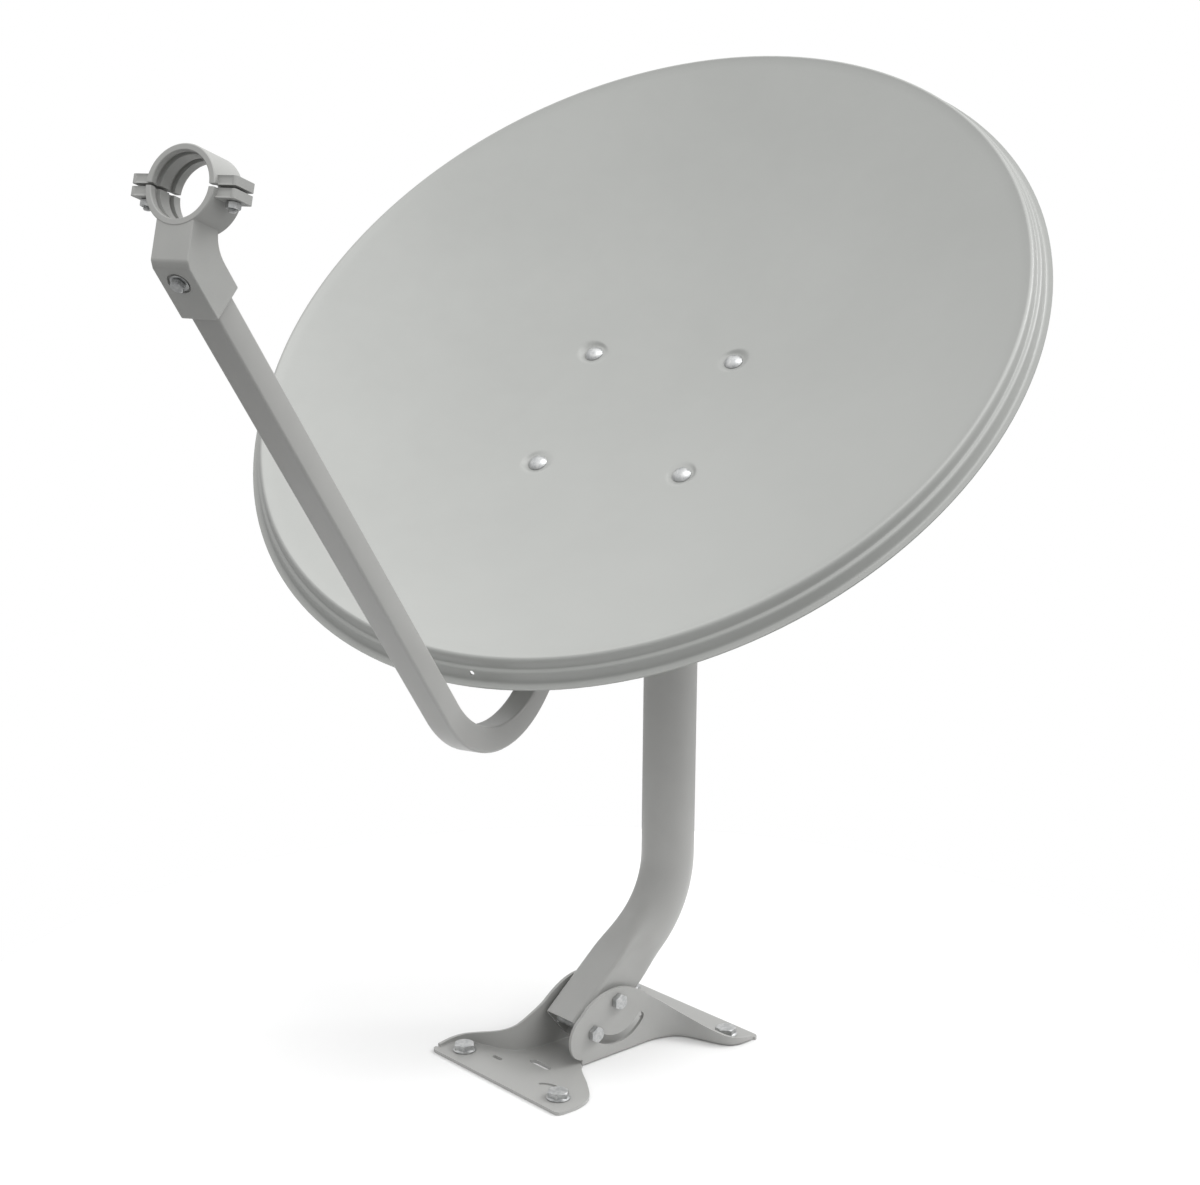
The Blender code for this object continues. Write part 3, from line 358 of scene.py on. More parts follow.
def smooth_line(points, steps):
    """More points on a smooth curve through the given ones."""
    points = [Vector(p) for p in points]
    last = len(points) - 1
    full = []
    for i in range(last):
        p0, p1, p2, p3 = points[max(i - 1, 0)], points[i], points[i + 1], points[min(i + 2, last)]
        for k in range(steps):
            t = k / steps
            full.append(0.5 * (2 * p1 + (p2 - p0) * t + (2 * p0 - 5 * p1 + 4 * p2 - p3) * t**2
                               + (3 * p1 - p0 - 3 * p2 + p3) * t**3))
    return full + [points[-1]]


def between(low, high, value):
    """A soft step from 0 at low to 1 at high."""
    t = min(max((value - low) / (high - low), 0.0), 1.0)
    return t * t * (3 - 2 * t)


# Finishes


class Wire:
    """One output of a node. Sums and products of wires add Math nodes."""

    def __init__(self, tree, socket=None):
        self.tree, self.socket = tree, socket

    def add(self, kind, settings=None, feeds=None, out=0):
        """A node of the kind: its settings first, then the values or wires of its sockets."""
        node = self.tree.nodes.new(kind)
        for key, value in (settings or {}).items():
            setattr(node, key, value)
        for key, value in (feeds or {}).items():
            if isinstance(value, Wire):
                self.tree.links.new(value.socket, node.inputs[key])
            else:
                node.inputs[key].default_value = value
        return Wire(self.tree, node.outputs[out])

    def maths(self, how, a, b):
        return self.add("ShaderNodeMath", {"operation": how}, {0: a, 1: b})

    def __add__(self, other):
        return self.maths("ADD", self, other)

    __radd__ = __add__

    def __sub__(self, other):
        return self.maths("SUBTRACT", self, other)

    def __rsub__(self, other):
        return self.maths("SUBTRACT", other, self)

    def __mul__(self, other):
        return self.maths("MULTIPLY", self, other)

    __rmul__ = __mul__


def noise(base, place, fine, detail=2.0, rough=0.5):
    feeds = {"Vector": place, "Scale": fine, "Detail": detail, "Roughness": rough}
    return base.add("ShaderNodeTexNoise", None, feeds)


def blend(base, mask, one, other):
    """A colour between two, by a mask."""
    return base.add("ShaderNodeMix", {"data_type": "RGBA"}, {0: mask, 6: one, 7: other}, out=2)


def spread(base, value, low, high):
    """A value opened up so that low becomes 0 and high becomes 1."""
    return base.add("ShaderNodeMapRange", None, {"Value": value, "From Min": low, "From Max": high})


def bumps(base, height, strength, depth):
    """A normal that follows the bumps of a height."""
    return base.add("ShaderNodeBump", None, {"Strength": strength, "Distance": depth, "Height": height})


def finish(name, recipe, **fixed):
    """A material: fixed values go straight on the shader, and the recipe feeds what varies."""
    made = bpy.data.materials.new(name)
    made.use_nodes = True
    tree = made.node_tree
    shader = tree.nodes["Principled BSDF"]
    for key, value in fixed.items():
        shader.inputs[key.replace("_", " ")].default_value = value
    base = Wire(tree)
    place = base.add("ShaderNodeTexCoord", out=3)
    for key, wire in recipe(base, place).items():
        tree.links.new(wire.socket, shader.inputs[key])
    return made


def shade(grey, tint):
    return (grey * tint[0], grey * tint[1], grey * tint[2], 1)


def painted(light, dark, rough, tint):
    """Sprayed enamel: a soft cloud of tone, a fine orange peel and a few darker flecks."""

    def recipe(base, place):
        cloud = noise(base, place, 5.0, 3.0, 0.55)
        film = noise(base, place, 46.0, 4.0, 0.6)
        peel = noise(base, place, 620.0, 2.0, 0.45)
        speck = noise(base, place, 1500.0, 1.0, 0.5)
        mask = spread(base, cloud * 0.75 + film * 0.25, 0.36, 0.64)
        fleck = spread(base, speck, 0.70, 0.80) * 0.10
        tone = blend(base, mask, shade(dark, tint), shade(light, tint))
        tone = blend(base, fleck, tone, shade(dark * 0.72, tint))
        skin = bumps(base, peel * 0.8 + speck * 0.2, 0.14, 0.25 * MM)
        return {"Base Color": tone, "Roughness": film * 0.16 + (rough - 0.08), "Normal": skin}

    return recipe


def plated(base, place):
    """Dull zinc: bright and grey patches with fine specks."""
    patch = noise(base, place, 240.0, 3.0, 0.6)
    speck = noise(base, place, 1700.0, 2.0, 0.5)
    mask = spread(base, patch * 0.7 + speck * 0.3, 0.35, 0.65)
    tone = blend(base, mask, (0.36, 0.37, 0.375, 1), (0.60, 0.605, 0.60, 1))
    skin = bumps(base, speck, 0.12, 0.1 * MM)
    return {"Base Color": tone, "Roughness": patch * 0.22 + 0.28, "Normal": skin}


def moulded(light, dark):
    """Moulded plastic with a fine grain."""

    def recipe(base, place):
        cloud = noise(base, place, 22.0, 3.0, 0.5)
        grain = noise(base, place, 1300.0, 3.0, 0.65)
        mask = spread(base, cloud * 0.7 + grain * 0.3, 0.36, 0.64)
        tone = blend(base, mask, (*dark, 1), (*light, 1))
        skin = bumps(base, grain, 0.2, 0.12 * MM)
        return {"Base Color": tone, "Roughness": grain * 0.18 + 0.40, "Normal": skin}

    return recipe


def white_board(base, place):
    """A matt white floor with a faint cloud."""
    tone = blend(base, noise(base, place, 3.0), (0.80, 0.80, 0.80, 1), (0.82, 0.82, 0.82, 1))
    return {"Base Color": tone}


FACE_TINT, FRAME_TINT = (0.996, 1.016, 0.98), (1.0, 1.0, 0.972)
PALE_GREY, MID_GREY = (0.37, 0.372, 0.36), (0.334, 0.337, 0.327)
SOFT_BLACK, BLACK = (0.075, 0.077, 0.08), (0.05, 0.052, 0.055)

FACE_PAINT = finish("reflector_enamel", painted(0.343, 0.325, 0.36, FACE_TINT), Specular_IOR_Level=0.5)
FRAME_PAINT = finish("frame_enamel", painted(0.352, 0.328, 0.34, FRAME_TINT), Specular_IOR_Level=0.5)
ZINC = finish("dull_zinc", plated, Metallic=0.85)
GREY_PLASTIC = finish("grey_moulding", moulded(PALE_GREY, MID_GREY), Specular_IOR_Level=0.4)
DARK_PLASTIC = finish("dark_moulding", moulded(SOFT_BLACK, BLACK), Specular_IOR_Level=0.4)
FLOOR_WHITE = finish("floor_white", white_board, Roughness=0.9)


# Reflector: one pressed sheet

# Flare past the rim and depth behind it, in mm: rolled lip, wall, step, wall, flared edge
RIM_PROFILE = (
    (-1.9, 0.15), (-0.4, -0.45), (1.1, 0.0), (2.2, 1.2), (3.0, 3.2), (3.7, 6.3), (4.4, 7.6), (5.6, 8.0),
    (6.6, 8.4), (7.5, 9.5), (8.2, 11.9), (9.0, 14.9), (9.8, 17.0), (11.0, 17.9), (13.0, 18.15), (15.0, 18.2),
)
RIM_STEPS = 180
# Rings of the face as shares of the lip's size, from the lip to the middle
FACE_RINGS = [1.0, 0.989, 0.975] + [0.955 - 0.0355 * k for k in range(26)] + [0.018]
LIP_SHARE, BOWL_SHARE = 1.00001, 0.993**2
WELL_SPOTS = [(x, z - RIM_UP) for x, z in FACE_SPOTS]


def bowl_depth(x, t):
    """How far the reflecting face lies behind the rim plane, at x across and t up the face."""
    c, s = math.cos(SPLAY), math.sin(SPLAY)
    q = t * c
    b = 2 * q * s + 4 * FOCAL * math.tan(SPLAY) * s + 4 * FOCAL * c
    k = q * q + x * x - RIM_A * RIM_A
    return -2 * k / (b + math.sqrt(b * b - 4 * s * s * k))


def well_floor(x, t):
    return bowl_depth(x, t) + WELL_DEPTH


def pressed_face(co):
    """The bowl with its four bolt wells, as a place for each point of the plan."""
    depth = bowl_depth(co.x, co.y)
    for x, t in WELL_SPOTS:
        far = math.hypot(co.x - x, co.y - t)
        if far < WELL_MOUTH:
            depth += (well_floor(x, t) - depth) * (1 - between(WELL_R, WELL_MOUTH, far))
    return Vector((co.x, co.y, -depth))


def make_reflector():
    begin(
        bpy.ops.mesh.primitive_circle_add, "pressed_reflector", vertices=RIM_STEPS, radius=1,
        fill_type="NOTHING",
    )
    rows = smooth_line(in_mm(RIM_PROFILE), 4)
    lip, front = rows[0]
    scale(RIM_A + lip, RIM_B + lip)
    push(z=-front)
    for (flare, back), (wider, deeper) in zip(rows, rows[1:]):
        pull()
        scale((RIM_A + wider) / (RIM_A + flare), (RIM_B + wider) / (RIM_B + flare))
        push(z=back - deeper)

    def within(v, share):
        """Whether a vertex lies inside this share of the lip's ellipse."""
        return (v.co.x / (RIM_A + lip)) ** 2 + (v.co.y / (RIM_B + lip)) ** 2 < share

    def near_well(f):
        middle = f.calc_center_median()
        return any(math.hypot(middle.x - x, middle.y - t) < WELL_FINE for x, t in WELL_SPOTS)

    choose("EDGE", lambda e: all(within(v, LIP_SHARE) for v in e.verts))
    for before, after in zip(FACE_RINGS, FACE_RINGS[1:]):
        pull()
        scale(after / before, after / before)
    pull()
    bpy.ops.mesh.merge(type="CENTER")
    choose("FACE", near_well)
    bpy.ops.mesh.subdivide(number_cuts=4, quadcorner="INNERVERT")
    reshape(pressed_face, lambda v: within(v, BOWL_SHARE))
    face_sheet(1, lambda f: -f.calc_center_median().xy.length)
    piece = wall(close(), REFLECTOR_SHEET)
    drain_at = along((0, -RIM_B - DRAIN_OUT, -DRAIN_BACK), (0, 1, 0.4))
    cut(piece, bar("drain_cutter", DRAIN_R, -5 * MM, 5 * MM, drain_at, 24))
    for x, t in WELL_SPOTS:
        cut(piece, bar("hole_cutter", M6_HOLE, -SHEET_CUT, SHEET_CUT, shift(x, t, -well_floor(x, t)), 24))
    soften(piece, angle=50)
    fit(settle(piece, FACE_PLAN), "dish", FACE_PAINT, "reflector_paint", "reflector")


# Mast


def pressed_section(angle):
    """The point of the mast's nearly square end that lies as far round it as the angle is round the tube."""
    quarter, rest = divmod(angle % math.tau, math.pi / 2)
    past = rest > math.pi / 4
    run = MAST_R * (math.pi / 2 - rest if past else rest)
    flat = PRESSED_SIDE - PRESSED_ROUND
    if run < flat:
        point = Vector((PRESSED_SIDE, run))
    else:
        turn = (run - flat) / PRESSED_ROUND
        point = Vector((flat + PRESSED_ROUND * math.cos(turn), flat + PRESSED_ROUND * math.sin(turn)))
    if past:
        point = point.yx
    return Matrix.Rotation(quarter * math.pi / 2, 2) @ point


def make_mast():
    bend = math.pi / 2 - MAST_LEAN
    tangent = MAST_BEND * math.tan(bend / 2)
    lower = MAST_REACH / math.cos(MAST_LEAN) - tangent
    top = MAST_TOP - TILT_HEIGHT
    upper = top - MAST_REACH * math.tan(MAST_LEAN) - tangent
    begin(
        bpy.ops.mesh.primitive_circle_add, "mast_tube", vertices=64, radius=MAST_R, fill_type="NOTHING",
        location=(0, 0, -MAST_TAIL),
    )
    stations = [-MAST_TAIL, -0.6 * MAST_TAIL, 0, 0.25 * lower]
    stations += [lower * (0.4 + 0.6 * k / 10) for k in range(11)]
    for here, there in zip(stations, stations[1:]):
        pull(z=there - here)
    bpy.ops.mesh.spin(steps=22, angle=bend, center=(0, -MAST_BEND, lower), axis=(-1, 0, 0))
    for _ in range(2):
        pull(y=-upper / 2 * math.sin(bend), z=upper / 2 * math.cos(bend))

    def pressed(co):
        grip = 1 - between(0.42 * lower, 0.95 * lower, co.z)
        section = co.xy.lerp(pressed_section(math.atan2(co.y, co.x)), grip)
        return Vector((*section, co.z))

    reshape(pressed, lambda v: v.co.z < lower)
    tidy_skin()
    piece = wall(close(), MAST_WALL)
    for z in (0, -TILT_LOCK):
        cut(piece, bar("bolt_hole", M8_HOLE, -WIDE_CUT, WIDE_CUT, along((0, 0, z), (1, 0, 0)), 24))
    soften(soften(piece, 0.3 * MM, 1, 50), angle=20)
    settle(piece, TILT @ turn_x(math.degrees(-bend)))
    fit(piece, "mast", FRAME_PAINT, "grey_paint", "mast")

    bore = MAST_R - MAST_WALL - CLEAR
    profile = [
        (0, -14 * MM), (bore - 0.6 * MM, -14 * MM), (bore, -12 * MM), (bore, CLEAR), (MAST_R - 0.4 * MM, CLEAR),
        (MAST_R, 0.7 * MM), (MAST_R, 2.2 * MM), (MAST_R - 0.5 * MM, 3.0 * MM), (MAST_R - 1.6 * MM, 3.5 * MM),
        (MAST_R - 8 * MM, 3.6 * MM), (0, 3.6 * MM),
    ]
    cap = settle(soften(lathe("mast_plug", profile, 64)), TILT @ shift(0, MAST_REACH, top))
    fit(cap, "mast", DARK_PLASTIC, "dark_plastic", "mast_cap")


# Foot: a stamped sheet, its two ears folded up from the plate

# Plan of one half in mm: the pad's edge to the ear, and the far corners
PAD_LINE = ((87.5, -115.5), (87.5, -97.5), (80.5, -80.5), (61.5, -65.5), (41.75, -53.5), (30.5, -45.5))
CORNER_LINE = (
    (87.5, 116.5), (86.6, 119.2), (84.2, 121.0), (81.5, 121.5), (-81.5, 121.5), (-84.2, 121.2), (-86.6, 119.4),
)
# The ear's straight part, as (place along, height) in mm
EAR_TOP_LINE = ((-41.5, 47.5), (-34, 54.5), (-22, 60), (-10, 62.9), (3, 63.4), (15, 60.6), (26, 55.2), (34, 50))
STRAIGHT = 42 * MM
# The rest of it sweeps out to the plate's corner: shares of the way across and along, and heights in mm
SWEEP = (
    (0.0, 0.0), (0.03, 0.13), (0.12, 0.29), (0.28, 0.38), (0.49, 0.44), (0.72, 0.5), (0.9, 0.575),
    (0.985, 0.69), (1.0, 0.8), (1.0, 0.9),
)
SWEEP_TOP = (44, 37, 27, 21, 16.5, 12.5, 9.5, 7.5, 6.2, 5.0)
# The ear's round nose, row by row: place along, bottom and top in mm
NOSE_START, NOSE_BOTTOM, NOSE_MIDDLE = -41.5 * MM, 7 * MM, 24 * MM
NOSE_ROWS = (
    (-43, 7, 46.5), (-46, 8, 44.2), (-49, 9.8, 41.3), (-52, 13, 36.6), (-54, 17, 32), (-55, 21.5, 27.5),
)


def arc_slot(radius, half, start, end):
    """The outline of a slot on an arc about the origin, with round ends."""
    arc = [start + (end - start) * k / 24 for k in range(25)]
    ends = [math.pi * k / 8 for k in range(1, 8)]
    points = [(math.cos(a) * (radius + half), math.sin(a) * (radius + half)) for a in arc]
    points += [(math.cos(end) * radius + half * math.cos(end + a),
                math.sin(end) * radius + half * math.sin(end + a)) for a in ends]
    points += [(math.cos(a) * (radius - half), math.sin(a) * (radius - half)) for a in arc[::-1]]
    points += [(math.cos(start) * radius - half * math.cos(start + a),
                math.sin(start) * radius - half * math.sin(start + a)) for a in ends]
    return points


def straight_slot(long, wide):
    """The outline of a straight slot with round ends."""
    points = []
    for end, first in ((1, -90), (-1, 90)):
        turns = [math.radians(first + 180 * k / 8) for k in range(9)]
        points += [(end * (long - wide) + wide * math.cos(a), wide * math.sin(a)) for a in turns]
    return points


# Small slots of one pad: place in mm and outline
PAD_SLOTS = (
    ((-32, -90), straight_slot(6 * MM, 2.2 * MM)),
    ((4, -70), straight_slot(13 * MM, 3.2 * MM)),
    ((46, -104), arc_slot(15 * MM, 1.7 * MM, math.radians(75), math.radians(145))),
)


def pull_nose(sign):
    """Pull the front edge of one ear on, row by row, into its round nose."""
    start = NOSE_START * sign

    def upright(e, low=0.0):
        a, b = (v.co for v in e.verts)
        at_start = abs(a.y - start) < NEAR and abs(b.y - start) < NEAR and abs(a.x - b.x) < NEAR
        return at_start and a.x * sign > 0 and abs(a.z - b.z) > MM and min(a.z, b.z) > low - 1e-6

    def halfway(v):
        return abs(v.co.y - start) < NEAR and v.co.x * sign > 0 and 20 * MM < v.co.z < 30 * MM

    choose("EDGE", upright)
    bpy.ops.mesh.subdivide(number_cuts=1)
    reshape(lambda co: Vector((co.x, co.y, NOSE_BOTTOM)), halfway)
    choose("EDGE", lambda e: upright(e, NOSE_BOTTOM - 0.1 * MM))
    here = start
    for w, low, high in NOSE_ROWS:
        there = w * MM * sign
        pull(y=there - here)
        here = there

        def in_row(co, low=low, high=high):
            return Vector((co.x, co.y, (low if co.z < NOSE_MIDDLE else high) * MM))

        reshape(in_row, lambda v: v.select)


def make_foot():
    span, run = HALF_WIDTH - EAR_OUT, HALF_LENGTH - STRAIGHT
    pad = [p * MM for p in smooth_line(PAD_LINE, 4)]
    ear = [Vector((EAR_OUT, w * MM, h * MM)) for w, h in EAR_TOP_LINE]
    ear += [Vector((EAR_OUT + k * span, STRAIGHT + s * run, h * MM)) for (k, s), h in zip(SWEEP, SWEEP_TOP)]
    ear = smooth_line(ear, 3)
    half = [(p.x, p.y) for p in pad + ear] + in_mm(CORNER_LINE)
    plan = half + [(-a, -b) for a, b in half]
    line("foot_pressing", [(a, b, 0) for a, b in plan], closed=True)

    def spot(co):
        return (round(co.x, 6), round(co.y, 6))

    tops = {spot(p * sign): p.z for p in ear for sign in (1, -1)}
    choose("EDGE", lambda e: all(spot(v.co) in tops for v in e.verts))
    pull(z=MM)
    reshape(lambda co: Vector((co.x, co.y, tops[spot(co)])), lambda v: v.co.z > 0.5 * MM)
    for sign in (1, -1):
        pull_nose(sign)
    choose("EDGE", lambda e: len(e.link_faces) == 2 and all(abs(v.co.z) < 1e-6 for v in e.verts))
    bpy.ops.mesh.bevel(offset=FOOT_FOLD, segments=4, affect="EDGES")
    face_sheet(-1, lambda f: f.calc_area())
    piece = wall(close(), FOOT_SHEET)

    across = along((0, 0, TILT_HEIGHT), (1, 0, 0))
    holes = [bar("pivot_hole", M8_HOLE, -WIDE_CUT, WIDE_CUT, across, 28)]
    outline = arc_slot(TILT_LOCK, M8_HOLE, math.radians(219), math.radians(321))
    holes.append(slab("tilt_slot", [(-50 * MM, y, z + TILT_HEIGHT) for y, z in outline], (100 * MM, 0, 0)))
    for sx in (-1, 1):
        for sy in (-1, 1):
            at = shift(sx * ANCHOR_X, sy * ANCHOR_Y, 0)
            holes.append(bar("anchor_hole", M10_HOLE, -SHEET_CUT, SHEET_CUT, at, 28))
    for sign in (-1, 1):
        for (u, w), form in PAD_SLOTS:
            outline = [(sign * (u * MM + a), sign * (w * MM + b), -SHEET_CUT) for a, b in form]
            holes.append(slab("small_slot", outline, (0, 0, 2 * SHEET_CUT)))
    for hole in holes:
        cut(piece, hole)
    flatten(piece, 0.3, convex=True)
    even_shade(soften(piece, 0.7 * MM, 2, 40))
    fit(settle(piece, FOOT), "foot", FRAME_PAINT, "grey_paint", "foot")


# Feed arm

FORWARD = Vector((0, -math.cos(ARM_FALL), -math.sin(ARM_FALL)))
ARM_CORNER = Vector((0, -ARM_BACK, -ARM_DROP + ARM_DROP_RUN * math.tan(ARM_FALL)))
ARM_END = ARM_CORNER + FORWARD * (ARM_LENGTH - ARM_BACK)
SOCKET_DOWN = Vector((0, math.sin(ARM_FALL), -math.cos(ARM_FALL)))
SOCKET_FACE = ARM_END - FORWARD * HOLDER_SCREW_IN + SOCKET_DOWN * (ARM_SIDE / 2 + WELL_FLOOR)
# The plug in the arm's upper end: rise to each step and its side, in mm
PLUG_ROOT, PLUG_DEEP = 15.6, 8 * MM
PLUG_STEPS = ((8.3, 16.4), (0, 19.4), (0.4, 20), (1.4, 20), (0.7, 18.8))


def rounded_square(name, side, radius, steps, at):
    piece = begin(bpy.ops.mesh.primitive_plane_add, name, size=side, location=at)
    bpy.ops.mesh.bevel(offset=radius, segments=steps, affect="VERTICES", offset_type="OFFSET")
    bpy.ops.mesh.select_all(action="SELECT")
    return piece


def make_arm():
    swing = math.pi / 2 - ARM_FALL
    tangent = ARM_BEND * math.tan(swing / 2)
    rounded_square("arm_tube", ARM_SIDE, ARM_ROUND, 4, (0, -ARM_BACK, ARM_TOP))
    bpy.ops.mesh.delete(type="ONLY_FACE")
    bpy.ops.mesh.select_all(action="SELECT")
    bend_z = ARM_CORNER.z + tangent
    for _ in range(2):
        pull(z=(bend_z - ARM_TOP) / 2)
    bpy.ops.mesh.spin(steps=30, angle=swing, center=(0, -ARM_BACK - ARM_BEND, bend_z), axis=(1, 0, 0))
    for _ in range(2):
        pull(*(FORWARD * (ARM_LENGTH - ARM_BACK - tangent) / 2))
    tidy_skin()
    piece = wall(close(), ARM_WALL)
    for z in ARM_BOLT_HEIGHTS.values():
        cut(piece, bar("bolt_hole", M6_HOLE, -20 * MM, 20 * MM, along((0, -ARM_BACK, z), (1, 0, 0)), 24))
    cut(piece, bar("screw_hole", M5_HOLE, -6 * MM, 3 * MM, along(SOCKET_FACE, SOCKET_DOWN), 24))
    soften(piece, angle=50)
    fit(settle(piece, DISH), "dish", FRAME_PAINT, "grey_paint", "feed_arm")

    rounded_square("arm_end_plug", PLUG_ROOT * MM, 1.2 * MM, 3, (0, -ARM_BACK, ARM_TOP - PLUG_DEEP))
    before = PLUG_ROOT
    for rise, side in PLUG_STEPS:
        pull(z=rise * MM)
        scale(side / before, side / before, 1, (0, -ARM_BACK, 0))
        before = side
    tidy_skin()
    plug = soften(close(), angle=30)
    fit(settle(plug, DISH), "dish", DARK_PLASTIC, "dark_plastic", "arm_plug")


# Receiver clamp: holder with the lower half ring, and the cap


def half_ring(name, sign):
    """The upper (1) or lower (-1) half of the clamp ring, its axis along +Y, two grooves in its bore."""
    inner, outer = 0.5 * MM, 0.6 * MM
    section = [
        (FEED_R, inner), (FEED_R + inner, 0), (FEED_OUT - outer, 0), (FEED_OUT, outer),
        (FEED_OUT, FEED_LENGTH - outer), (FEED_OUT - outer, FEED_LENGTH),
        (FEED_R + inner, FEED_LENGTH), (FEED_R, FEED_LENGTH - inner),
    ]
    for start in GROOVES:
        end = start + GROOVE_WIDE
        section += [(FEED_R, end + 0.1 * MM), (GROOVE_R, end), (GROOVE_R, start), (FEED_R, start - 0.1 * MM)]
    line(name, [(r, y, 0) for r, y in section], closed=True)
    bpy.ops.mesh.spin(steps=48, angle=math.pi, center=(0, 0, 0), axis=(0, 1, 0))
    tidy_skin()
    piece = close()
    if sign < 0:
        settle(piece, Matrix.Rotation(math.pi, 4, "Y"))
    open_up(piece)
    bpy.ops.mesh.select_all(action="SELECT")
    bpy.ops.mesh.bisect(plane_co=(0, 0, sign * SPLIT), plane_no=(0, 0, sign), use_fill=True, clear_inner=True)
    return close()


def clamp_ear(side, sign):
    """One ear beside the ring, its outer corners rounded and its front face sunk inside a border."""
    low, high = sorted((sign * SPLIT, sign * (SPLIT + CLAMP_EAR)))
    begin(
        bpy.ops.mesh.primitive_cube_add, "ear", size=1,
        location=(side * (EAR_ROOT + EAR_X) / 2, (EAR_FRONT + EAR_BACK) / 2, (low + high) / 2),
        scale=(EAR_X - EAR_ROOT, EAR_BACK - EAR_FRONT, high - low),
    )

    def outer_corner(e):
        a, b = (v.co for v in e.verts)
        return (a - b).xy.length < 1e-6 and a.x * side > (EAR_ROOT + EAR_X) / 2

    choose("EDGE", outer_corner)
    bpy.ops.mesh.bevel(offset=2 * MM, segments=4, affect="EDGES", offset_type="OFFSET")
    choose("FACE", lambda f: f.normal.y < -0.99)
    bpy.ops.mesh.inset(thickness=1.3 * MM)
    push(y=0.7 * MM)
    return close()


def make_neck(to_feed):
    """The solid between the arm's socket and the ring, with a saddle cut for the ring."""

    def beside_arm(ahead, below):
        return (to_feed @ (ARM_END + FORWARD * ahead + SOCKET_DOWN * below)).yz

    half = ARM_SIDE / 2
    under_front, under_back = (beside_arm(a, half + SOCKET_FLOOR) for a in (SOCKET_LIP, -SOCKET_LENGTH))
    top_back, top_mid = (beside_arm(a, -half - SOCKET_ROOF) for a in (-SOCKET_LENGTH, -SOCKET_LENGTH / 2))
    neck_top = Vector((NECK_BACK, NECK_TOP))
    bow = Vector((neck_top.x - 0.8 * MM, 0.62 * top_mid.y + 0.38 * neck_top.y))
    outline = [(NECK_FRONT, neck_top.y), (NECK_FRONT, under_front.y + CHIN), under_front, under_back, top_back]
    for k in range(9):
        t = k / 8
        outline.append(top_mid * (1 - t) ** 2 + bow * 2 * t * (1 - t) + neck_top * t * t)
    wide = half + SOCKET_FLOOR
    neck = slab("neck", [(-wide, y, z) for y, z in outline], (2 * wide, 0, 0))
    round_edges(neck, 1.2 * MM, 3, 30)
    return cut(neck, bar("saddle", SADDLE_R, -9 * MM, 60 * MM, along((0, 0, 0), (0, 1, 0)), 96))


def make_clamp():
    cap, holder = half_ring("clamp_cap", 1), half_ring("clamp_holder", -1)
    for side in (1, -1):
        unite(cap, clamp_ear(side, 1))
        unite(holder, clamp_ear(side, -1))

    to_feed = FEED.inverted() @ DISH
    unite(holder, make_neck(to_feed))
    rounded_square("hollow", ARM_SIDE + 2 * CLEAR, 2.5 * MM, 3, (0, 0, -0.4 * MM))
    pull(z=SOCKET_LENGTH + 10 * MM)
    tidy_skin()
    cut(holder, settle(close(), to_feed @ along(ARM_END, -FORWARD)))
    at = to_feed @ along(SOCKET_FACE, SOCKET_DOWN)
    cut(holder, bar("screw_well", SCREW_WELL_R, 0, 12 * MM, at))
    cut(holder, bar("screw_way", M5_HOLE, -6 * MM, 6 * MM, at, 24))
    sink = in_mm([(0, 0.6), (5.6, 0.6), (2.5, -2.65), (0, -2.65)])
    for side in (1, -1):
        at = shift(side * SCREW_X, SCREW_Y, SPLIT + CLAMP_EAR)
        for piece in (cap, holder):
            cut(piece, bar("screw_hole", M5_HOLE, -40 * MM, 20 * MM, at, 24))
        cut(cap, settle(lathe("sink", sink, 40), at))
    for piece, node in ((cap, "feed_cap"), (holder, "feed_holder")):
        flatten(piece, 0.5)
        even_shade(soften(piece, 0.4 * MM))
        fit(settle(piece, FEED), "dish", GREY_PLASTIC, "grey_plastic", node)


# Fasteners

# Outlines in mm, as (radius, height): a coach bolt's head, a countersunk head and a flat washer
COACH_HEAD = (
    (0, -3.7), (1.8, -3.6), (3.6, -3.25), (5.2, -2.65), (6.6, -1.75), (7.6, -0.75), (8.0, -0.25), (7.9, 0),
)
SUNK_HEAD = ((0, 0), (4.35, 0), (4.6, -0.2), (2.5, -2.2))
WASHER_RING = (
    (2.9, 0.2), (3.1, 0), (5.8, 0), (6, 0.2), (6, 1), (5.8, 1.2), (3.1, 1.2), (2.9, 1), (2.9, 0.2),
)
METAL_EDGE = 28


def thread(r, low, high, pitch):
    """Points of a screwed length from low to high."""
    turns = max(int((high - low) / pitch), 1)
    step = (high - low) / turns
    points = []
    for k in range(turns):
        z = low + k * step
        points += [(r, z + 0.1 * step), (r - 0.58 * pitch, z + 0.5 * step), (r, z + 0.9 * step)]
    return points


def hex_block(name, half, low, high, both_ends):
    """A hexagon block whose top, or both ends, are turned down to a bevelled circle."""
    corner = half / math.cos(math.pi / 6)
    piece = begin(
        bpy.ops.mesh.primitive_cylinder_add, name, vertices=6, radius=corner, depth=high - low,
        location=(0, 0, (low + high) / 2), rotation=(0, 0, math.pi / 2),
    )
    close()
    rim, far = 0.97 * half, corner + 0.2 * MM
    fall = (far - rim) * math.tan(math.radians(30))
    profile = [(0, low), (rim, low), (far, low + fall)] if both_ends else [(0, low), (far, low)]
    profile += [(far, high - fall), (rim, high), (0, high)]
    # Turned a little, so that none of its edges meets a corner of the hexagon
    lens = settle(lathe("turning", profile), Matrix.Rotation(math.radians(1.9), 4, "Z"))
    return unite(piece, lens, "INTERSECT")


